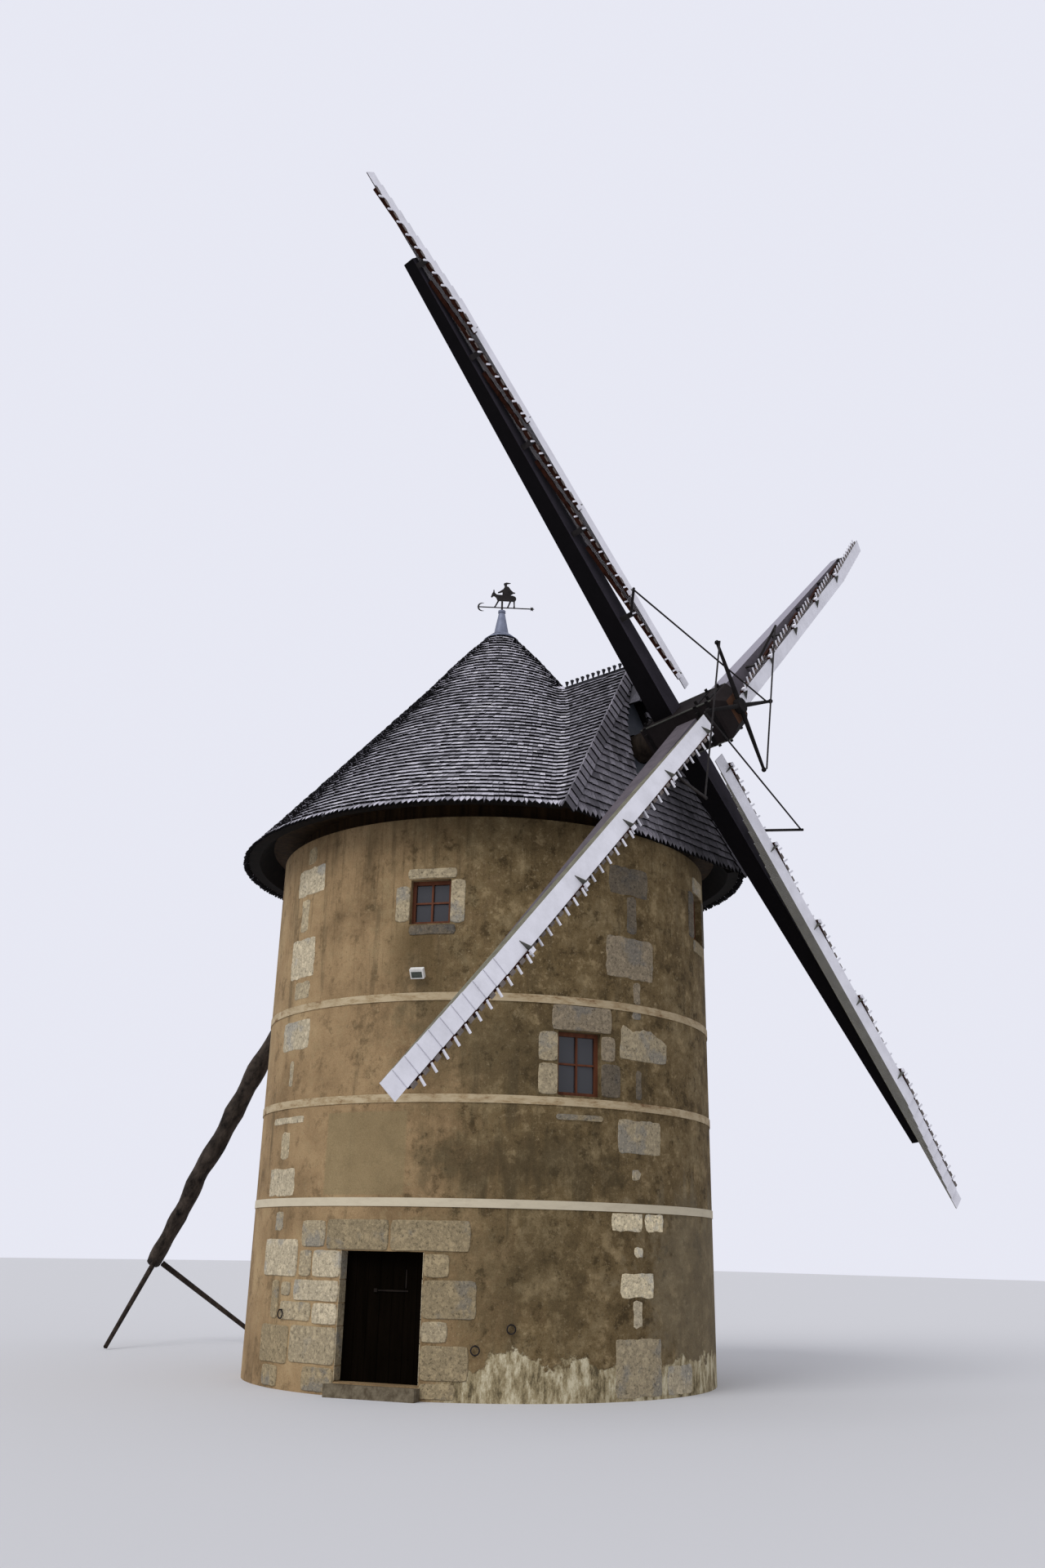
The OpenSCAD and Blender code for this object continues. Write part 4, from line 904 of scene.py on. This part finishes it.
# Stones that show through the render: left and right angle, foot and top height, tone
LEFT_CHAIN = (
    (-191, -187, 8.3, 8.62, "brown"), (-195.5, -182.5, 7.75, 8.25, "pale"), (-192.5, -188.5, 7.1, 7.7, "mid"),
    (-196.5, -184.5, 6.3, 7, "pale"), (-193, -185.5, 5.95, 6.25, "mid"), (-197.5, -184, 5.1, 5.6, "pale"),
    (-192, -190, 4.5, 4.95, "mid"), (-199, -183.5, 3.92, 4.03, "pale"), (-193.5, -189, 3.35, 3.8, "mid"),
    (-198.5, -185.5, 2.79, 3.23, "pale"), (-193, -189, 2.25, 2.58, "mid"),
)
RIGHT_CHAIN = (
    (-107.5, -95, 7.65, 8.15, "dark"), (-102.3, -99, 7, 7.66, "dark"), (-108.5, -93.5, 6.25, 6.95, "grey"),
    (-100.5, -98, 5.85, 6.22, "grey"), (-101, -98, 5.6, 5.76, "grey"), (-100, -98, 4.32, 4.8, "dark"),
    (-105.5, -91.7, 3.5, 4.03, "mid"), (-101.5, -98.5, 3.1, 3.28, "mid"),
    # These four low stones take the light tone, painted light where the light on the wall falls off
    (-107.4, -98.1, 2.35, 2.63, "light"), (-97.8, -91.3, 2.35, 2.63, "light"),
    (-101, -98.2, 1.97, 2.14, "light"), (-105, -94.8, 1.4, 1.77, "light"),
    (-101.5, -98.5, 0.98, 1.38, "pale"), (-106.4, -92.7, 0.03, 0.85, "mid"), (-91, -80.5, 0.03, 0.46, "pale"),
)
DOOR_STONES = (
    (-197, -182, 1.6, 2.15, "pale"), (-181.2, -177.1, 1.61, 2, "mid"), (-176.8, -168.5, 1.61, 2, "pale"),
    (-182.6, -168.5, 1.27, 1.57, "pale"), (-187.5, -183.8, 1.32, 1.53, "mid"),
    (-191.5, -188.4, 0.98, 1.55, "brown"), (-187.4, -176.2, 0.98, 1.25, "mid"),
    (-175.9, -168.5, 0.95, 1.25, "pale"), (-195.5, -183.2, 0.36, 0.9, "brown"),
    (-182.7, -168.5, 0.4, 0.92, "mid"), (-193.5, -186.5, 0.03, 0.33, "brown"),
    (-177.8, -168.5, 0.03, 0.37, "brown"), (-148.7, -143.1, 1.65, 1.98, "brown"),
    (-148.7, -137.2, 1.09, 1.62, "brown"), (-148.7, -143, 0.77, 1.06, "mid"),
    (-148.7, -138.5, 0.27, 0.74, "brown"), (-148.7, -141, 0.03, 0.24, "brown"),
    (-181, -173.3, 2.04, 2.43, "mid"), (-173, -156.8, 2.01, 2.45, "brown"),
    (-156.5, -138.8, 2.01, 2.45, "brown"),
)
WINDOW_STONES = (
    (-156.8, -144.7, 7.71, 7.88, "mid"), (-159.6, -155.95, 7, 7.6, "mid"),
    (-146.05, -142.6, 6.96, 7.69, "mid"), (-156, -144.6, 6.78, 6.94, "dark"),
    (-122, -106.8, 5.32, 5.72, "grey"), (-125, -120.45, 4.83, 5.29, "mid"), (-125, -120.45, 4.32, 4.8, "mid"),
    (-109.75, -105.9, 4.88, 5.28, "grey"), (-109.75, -104.5, 4.33, 4.85, "dark"),
    (-120.8, -109.2, 3.95, 4.04, "brown"), (-72.5, -62.5, 8.17, 8.45, "mid"),
    (-76, -72.35, 7.3, 8.15, "dark"), (-62.65, -59, 7.3, 8.15, "dark"), (-73, -62, 7.08, 7.29, "brown"),
)
# One slanted stone of the right chain, by its corners
SLANTED = [(-105, 4.96), (-96.5, 4.92), (-89, 4.97), (-88.4, 5.28), (-96, 5.5), (-101, 5.42), (-104.2, 5.52)]
SLANTED_PROUD = 0.008
DOOR_PROUD = 0.018
WINDOW_PROUD = 0.016
OPENING_RAGGED = 0.008

# Chains on the unseen sides: middle angle and seed, and the sizes of their long and short stones
FAR_CHAINS = ((-9.5, 23), (81, 24))
FAR_FOOT = 0.05
FAR_TOP = 8.1
FAR_JOINT = 0.03
LONG_H = (0.42, 0.62)
LONG_HALF = (5.5, 7.5)
SHORT_H = (0.4, 0.7)
SHORT_HALF = 1.8


def far_chain(heaps, centre, seed):
    """Long and short stones by turns, up the whole wall."""
    rng = random.Random(seed)
    z = FAR_FOOT
    while z < FAR_TOP:
        height = rng.uniform(*LONG_H)
        half = rng.uniform(*LONG_HALF)
        long_heap = heaps[rng.choice(("pale", "mid", "brown"))]
        wall_stone(long_heap, centre - half, centre + half, z, z + height, rng)
        z += height + FAR_JOINT
        height = rng.uniform(*SHORT_H)
        wall_stone(heaps["mid"], centre - SHORT_HALF, centre + SHORT_HALF, z, z + height, rng)
        z += height + FAR_JOINT


def tower_stones():
    heaps = {tone: Heap() for tone in STONES}
    rng = random.Random(31)
    for row in LEFT_CHAIN + RIGHT_CHAIN:
        wall_stone(heaps[row[4]], *row[:4], rng)
    wall_patch(heaps["mid"], SLANTED, rng, SLANTED_PROUD)
    for centre, seed in FAR_CHAINS:
        far_chain(heaps, centre, seed)
    for tone, heap in heaps.items():
        heap.piece("chain_stones_" + tone, "tower", "dressed_stone", STONES[tone])


def opening_stones(name, rows, hides, proud):
    """The stones round doorway or windows, one piece for each tone."""
    rng = random.Random(37)
    heaps = {}
    for row in rows:
        wall_stone(heaps.setdefault(row[4], Heap()), *row[:4], rng, proud, OPENING_RAGGED)
    for i, (tone, heap) in enumerate(sorted(heaps.items())):
        heap.piece(name + "_" + tone, "tower", "dressed_stone", STONES[tone], [hides] if i == 0 else [])


BAR_D = 0.03
BAR_H = 0.028
BAR_SINK = 0.018


def window_bars():
    """The cross bar of each window, over its mullion."""
    heap = Heap()
    for az, width, sill, height in WINDOWS:
        face = wall_r(sill) * math.cos(math.asin(width / 2 / wall_r(sill))) - WIN_SETBACK
        place = spoke(az, face - BAR_SINK, sill + height / 2)
        heap.box((BAR_D, width - 2 * FRAME_W, BAR_H), place)
    heap.piece("window_bars", "tower", "red_timber", PAINTS["red_timber"])


# Door leaf: its width, its planks and the rows of nails over its foot and under its top
LEAF_W = DOOR_W + 0.048
PLANK_COUNT = 7
PLANK_T = 0.053
PLANK_BACK = 0.0545
PLANK_GAP = 0.006
NAIL = (0.014, 0.02, 0.02)
NAIL_SINK = 0.003
NAILS_UP = 0.33
NAILS_DOWN = 0.36


def door_planks():
    """Planks of slightly uneven thickness, with a nail in each at two heights."""
    low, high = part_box("door_leaf")
    rng = random.Random(41)
    heap = Heap()
    step = LEAF_W / PLANK_COUNT
    places = [-LEAF_W / 2 + (i + 0.5) * step for i in range(PLANK_COUNT)]
    for y in places:
        depth = PLANK_T - rng.uniform(0, 0.004)
        place = spoke(DOOR_AZ, LEAF_FACE_R - PLANK_BACK + depth / 2, (high.z + low.z) / 2, y)
        heap.box((depth, step - PLANK_GAP, high.z - low.z - 0.002), place)
    for z in (low.z + NAILS_UP, high.z - NAILS_DOWN):
        for y in places:
            heap.box(NAIL, spoke(DOOR_AZ, LEAF_FACE_R - NAIL_SINK, z, y))
    heap.piece("door_planks", "door", "old_timber", DOOR_PAINT, ["door_leaf"])


# Irons of the door, each by its size, how far its middle stands out, its height and its place across
DOOR_IRONS = {
    "bolt": ((0.014, 0.5, 0.022), 0.005, 1.45, 0.12),
    "knob": ((0.04, 0.05, 0.05), 0.014, 1.45, -0.16),
    "handle": ((0.012, 0.018, 0.26), 0.004, 1.62, 0.33),
}


def door_irons():
    heap = Heap()
    for size, out, z, across in DOOR_IRONS.values():
        heap.box(size, spoke(DOOR_AZ, LEAF_FACE_R + out, z, across))
    heap.piece("door_bolt", "door", "black_iron", BOLT_PAINT)


# Joints of the courses in the doorway's left and right reveal, and the stones' thickness and joints
REVEAL_JOINTS = {-1: (0.2, 0.4, 0.94, 1.26, 1.59, 2), 1: (0.2, 0.25, 0.76, 1.08, 1.63, 2)}
REVEAL_T = (0.006, 0.01)
REVEAL_SUNK = 0.004
REVEAL_GAP = 0.014


def reveal_stones():
    """Stone faces inside the door opening, in front of the leaf."""
    heap = Heap()
    rng = random.Random(53)
    outer = math.sqrt(WALL_BASE_R ** 2 - (DOOR_W / 2) ** 2)
    inner = WALL_BASE_R - 0.255
    for side, courses in REVEAL_JOINTS.items():
        for z0, z1 in zip(courses, courses[1:]):
            thick = rng.uniform(*REVEAL_T)
            across = side * (DOOR_W / 2 - thick / 2 + REVEAL_SUNK / 2)
            place = spoke(DOOR_AZ, (outer + inner) / 2, (z0 + z1) / 2, across)
            heap.box((outer - inner, thick + REVEAL_SUNK, z1 - z0 - REVEAL_GAP), place)
    heap.piece("reveal_stones", "tower", "dressed_stone", STONES["mid"])


# Door step: width, inner and outer face, the joint between its two planks, and their heights
STEP_W = DOOR_W + 0.09
STEP_INNER_R = math.sqrt((WALL_BASE_R + 0.018) ** 2 - (STEP_W / 2) ** 2)
STEP_OUTER_R = WALL_BASE_R + 0.165
STEP_MIDDLE_R = (WALL_BASE_R + 0.02 + STEP_OUTER_R) / 2
STEP_H = 0.178
STEP_BACK_H = 0.17
STEP_BACK_Z = 0.086
STEP_SHORT = (0.02, 0.04)


def step_planks():
    rng = random.Random(43)
    heap = Heap()
    front = (STEP_OUTER_R - STEP_MIDDLE_R - 0.004, STEP_W, STEP_H)
    back = (STEP_MIDDLE_R - STEP_INNER_R - 0.01, STEP_W - rng.uniform(*STEP_SHORT), STEP_BACK_H)
    heap.box(front, spoke(DOOR_AZ, (STEP_OUTER_R + STEP_MIDDLE_R) / 2, STEP_H / 2))
    heap.box(back, spoke(DOOR_AZ, (STEP_MIDDLE_R + STEP_INNER_R) / 2, STEP_BACK_Z))
    heap.piece("step_planks", "tower", "old_timber", STEP_PAINT, ["door_step"])


LAMP_OUT = 0.06
LAMP_PANE = (0.006, 0.176, 0.1)
PANE_PROUD = 0.001
PANE_RISE = 0.07


def lamp_front():
    """Glass in the front of the floodlight."""
    heap = Heap()
    place = spoke(LAMP_AZ, wall_r(LAMP_Z), LAMP_Z) @ moved(LAMP_OUT, 0, -LAMP_OUT)
    heap.box(LAMP_PANE, place @ turned(LAMP_LEAN, "Y") @ moved(LAMP_D + PANE_PROUD, 0, PANE_RISE))
    heap.piece("lamp_glass", "tower", "glass", LAMP_GLASS)


# The trunk's corners, Y and Z, and its radius at each; a wave is its reach and its turn from ring to ring
TRUNK = ((3.15, 9.97), (4.51, 8.44), (6.75, 6.01), (8.76, 3.58), (10.25, 1.64))
TRUNK_R = (0.14, 0.15, 0.215, 0.205, 0.17)
TRUNK_STEPS = 14
WAVE_X = (0.022, 0.55)
WAVE_Y = (0.018, 0.9)
WAVE_R = (0.07, 1.3)
GIRTH = 0.93
GIRTH_PLAY = (-0.025, 0.015)
BARK_PLAY = 0.035


def trunk():
    """The crooked trunk of the tail pole, with its swellings and hollows."""
    rng = random.Random(47)
    path, radii = [], []
    for (y0, z0), (y1, z1), r0, r1 in zip(TRUNK, TRUNK[1:], TRUNK_R, TRUNK_R[1:]):
        for i in range(TRUNK_STEPS):
            t = i / TRUNK_STEPS
            path.append(Vector((0, y0 + (y1 - y0) * t, z0 + (z1 - z0) * t)))
            radii.append(r0 + (r1 - r0) * t)
    path.append(Vector((0, *TRUNK[-1])))
    radii.append(TRUNK_R[-1])
    for i, p in enumerate(path):
        if i > TRUNK_STEPS:
            p.x += WAVE_X[0] * math.sin(i * WAVE_X[1])
            p.y += WAVE_Y[0] * math.sin(i * WAVE_Y[1] + 1)
            radii[i] *= GIRTH + WAVE_R[0] * math.sin(i * WAVE_R[1]) + rng.uniform(*GIRTH_PLAY)
    heap = Heap()
    heap.tube(path, radii, 20, BARK_PLAY, rng)
    heap.piece("tail_trunk", "cap", "old_timber", TRUNK_PAINT, ["tail_pole"], smooth=True)


def shaft_matrix():
    """From the windshaft's own axes, Z forwards, to the building."""
    return Matrix.Translation(HUB) @ turned(90 - SHAFT_TILT, "X")


def sail_matrix(k):
    """From a sail's own axes, X outwards and Z forwards, to the building."""
    return shaft_matrix() @ turned(SAIL_PHASE + 90 * k) @ moved(0, 0, 0 if k % 2 else STOCK_STEP)


def boards_matrix(k):
    """From a sail's leaning boards, X along them from the front board's hub end, to the building."""
    place = turned(BOARD_TWIST, "X") @ moved(BOARD_START, 0, BOARD_TOP)
    return sail_matrix(k) @ place @ turned(BOARD_LEAN, "Y")


# The shaft's head and its irons
HEAD_HALF_W = 0.38
HEAD_BACK = 0.46
HEAD_SIDE_FRONT = 1.07
STRAP_W = 0.07
STRAP_PROUD = 0.012
STRAP_PLACES = (-0.36, 0.72, 0.96)
BOLT = (0.09, 0.04, 0.04)
BOLT_OUT = 0.03
BOLT_PLACES = (-0.27, 0.27)
CORNER_W = 0.02
CORNER_SHORT = 0.04


def head_irons():
    """Straps with their bolts round the shaft's head, and an iron along each of its corners."""
    straps, corners = Heap(), Heap()
    base = shaft_matrix() @ turned(SAIL_PHASE)
    strap = (STRAP_PROUD * 2, 2 * HEAD_HALF_W + 2 * STRAP_PROUD, STRAP_W)
    corner = (CORNER_W, CORNER_W, HEAD_BACK + HEAD_SIDE_FRONT - CORNER_SHORT)
    edge = moved(HEAD_HALF_W, HEAD_HALF_W, (HEAD_SIDE_FRONT - HEAD_BACK) / 2)
    for k in range(4):
        side = base @ turned(90 * k)
        for z in STRAP_PLACES:
            straps.box(strap, side @ moved(HEAD_HALF_W, 0, z))
            for y in BOLT_PLACES:
                straps.box(BOLT, side @ moved(HEAD_HALF_W + BOLT_OUT, y, z))
        corners.box(corner, side @ edge)
    straps.piece("head_straps", "rotor", "black_iron", OWN_PAINTS["spider"])
    corners.piece("head_corners", "rotor", "black_iron", GREY_IRON)


# Fittings of the sail boards. Out is across the boards, rise is in front of them
STRIP_T = 0.004
STRIP_SHORT = 0.02
STRIP_NARROW = 0.003
HANGERS_SHOWN = 7
HANGER = (0.026, 0.126, 0.022)
HANGER_OUT = 0.078
HANGER_RISE = 0.035
HANGER_TURN = -10
BLOCK = (0.1, 0.052, 0.012)
BLOCK_ALONG = 0.12
BLOCK_OUT = 0.034
BLOCK_SINK = 0.004
CAP = (0.09, 0.06, 0.06)
CAP_BACK = 0.12
CAP_OUT = 0.035
FIN = ((0, 0, 0), (0.02, -0.165, 0), (0, -0.02, 0.085), (0, 0, 0.085))
FIN_T = 0.012


def board_strips(dark, dull, base):
    """A dark strip along each board's front edge and a dull one along its back edge."""
    strip = (BOARD_LEN - STRIP_SHORT, STRIP_T, BOARD_T - STRIP_NARROW)
    for i in range(BOARD_COUNT):
        middle = i * BOARD_SHIFT + BOARD_LEN / 2
        z = BOARD_T / 2 - i * BOARD_PITCH
        dark.box(strip, base @ moved(middle, LEVER_Y, z))
        dull.box(strip, base @ moved(middle, LEVER_Y - BOARD_W, z))


def hangers(white, block, base, start, shown):
    """One hanger for each board that a lever carries, with a block after it."""
    for i in range(shown):
        x = start + i * BOARD_SHIFT
        z = BOARD_T / 2 - i * BOARD_PITCH + HANGER_RISE
        white.box(HANGER, base @ moved(x, LEVER_Y + HANGER_OUT, z) @ turned(HANGER_TURN))
        block.box(BLOCK, base @ moved(x + BLOCK_ALONG, LEVER_Y + BLOCK_OUT, z - BLOCK_SINK))


def lever_end(white, iron, base, start):
    """The white cap and the thin fin at a lever's hub end."""
    foot = Vector((start - CAP_BACK, LEVER_Y, BOARD_T))
    white.box(CAP, base @ Matrix.Translation(foot + Vector((0, CAP_OUT, CAP_OUT))))
    blade = [foot + Vector(p) for p in FIN]
    thick = Vector((FIN_T, 0, 0))
    iron.slab([base @ p for p in blade], [base @ (p + thick) for p in blade])


def sail_fittings():
    """What the boards carry: strips, hangers, blocks, and each lever's cap and fin."""
    white, dark, dull, block, iron = Heap(), Heap(), Heap(), Heap(), Heap()
    for k in range(SAIL_COUNT):
        base = boards_matrix(k)
        board_strips(dark, dull, base)
        for j in range(LEVER_COUNT):
            start = LEVER_FIRST + j * LEVER_STEP - LEVER_HUB_END - BOARD_START
            hangers(white, block, base, start, HANGERS_SHOWN if j < LEVER_COUNT - 1 else BOARD_COUNT)
            lever_end(white, iron, base, start)
    white.piece("board_hangers", "rotor", "white_boards", PAINTS["white_boards"])
    dark.piece("board_edges", "rotor", "old_timber", EDGE_PAINT)
    dull.piece("board_back_edges", "rotor", "white_boards", DULL_PAINT)
    block.piece("hanger_blocks", "rotor", "grey_sheet", BLOCK_PAINT)
    iron.piece("board_fins", "rotor", "black_iron", GREY_IRON)


# The camera: metres and degrees, and the focal length and the longer side in the photograph's pixels
EYE = (-17.539, -16.906, 2.034)
HEADING_PITCH_ROLL = (42.757, 19.694, 1.249)
FOCAL_PX = 1600
LONG_SIDE_PX = 1920
SENSOR_MM = 36.0
FARTHEST = 500.0


def make_camera():
    heading, pitch, roll = (math.radians(angle) for angle in HEADING_PITCH_ROLL)
    flat = math.cos(pitch)
    ahead = Vector((flat * math.cos(heading), flat * math.sin(heading), math.sin(pitch)))
    level = Vector((math.sin(heading), -math.cos(heading), 0))
    upright = level.cross(ahead)
    right = math.cos(roll) * level + math.sin(roll) * upright
    up = -math.sin(roll) * level + math.cos(roll) * upright
    data = bpy.data.cameras.new("camera")
    data.sensor_width = SENSOR_MM
    data.lens = SENSOR_MM * FOCAL_PX / LONG_SIDE_PX
    data.clip_end = FARTHEST
    camera = linked("camera", data)
    turn = Matrix((right, up, -ahead)).transposed().to_4x4()
    camera.matrix_world = Matrix.Translation(Vector(EYE)) @ turn
    bpy.context.scene.camera = camera


FLOOR_HALF = 150.0
FLOOR_COLOUR = (0.6, 0.6, 0.62, 1)


def make_stage():
    mesh = bpy.data.meshes.new("floor")
    corners = ((-1, -1), (1, -1), (1, 1), (-1, 1))
    mesh.from_pydata([(x * FLOOR_HALF, y * FLOOR_HALF, 0) for x, y in corners], [], [(0, 1, 2, 3)])
    floor = linked("floor", mesh)
    p = Paint("floor", 0.95, sheen=0.5)
    p.colour(FLOOR_COLOUR)
    floor.data.materials.append(p.material)


# The sky as a light and as what the camera, reflections and glass see, and the sun
SKY_COLOUR = (0.93, 0.94, 1, 1)
SKY_STRENGTH = 0.72
BACKDROP_COLOUR = (0.80, 0.81, 0.90, 1)
BACKDROP_STRENGTH = 1.0
SUN_STRENGTH = 1.5
SUN_WIDTH = 35
SUN_TOWARD = (1, 0.05, -0.85)


def make_sky():
    """An even pale sky that lights the mill a little less than it looks."""
    world = bpy.data.worlds.new("studio")
    bpy.context.scene.world = world
    sky = Tree(world)
    plain = sky.nodes["Background"]
    sky.set(plain, Color=SKY_COLOUR, Strength=SKY_STRENGTH)
    shown = sky.node("Background", Color=BACKDROP_COLOUR, Strength=BACKDROP_STRENGTH)
    rays = sky.node("LightPath").outputs
    seen = sky.math("MAXIMUM", rays["Is Camera Ray"], rays["Is Glossy Ray"])
    seen = sky.math("MAXIMUM", seen, rays["Is Transmission Ray"])
    mix = sky.node("MixShader", Fac=seen)
    sky.put(plain.outputs[0], mix.inputs[1])
    sky.put(shown.outputs[0], mix.inputs[2])
    sky.set(sky.nodes["World Output"], Surface=mix.outputs[0])


def make_sun():
    lamp = bpy.data.lights.new("key", "SUN")
    lamp.energy = SUN_STRENGTH
    lamp.angle = math.radians(SUN_WIDTH)
    sun = linked("key", lamp)
    sun.rotation_mode = "QUATERNION"
    sun.rotation_quaternion = Vector(SUN_TOWARD).to_track_quat("-Z", "Y")


bpy.context.scene.view_settings.view_transform = "Standard"
dress_solids()
roof_shingles()
lead_skirt()
front_shingles()
arris_shingles()
tower_stones()
opening_stones("door_stones", DOOR_STONES, "door_surround", DOOR_PROUD)
opening_stones("window_stones", WINDOW_STONES, "window_surrounds", WINDOW_PROUD)
window_bars()
door_planks()
door_irons()
reveal_stones()
step_planks()
lamp_front()
trunk()
head_irons()
sail_fittings()
make_camera()
make_stage()
make_sky()
make_sun()
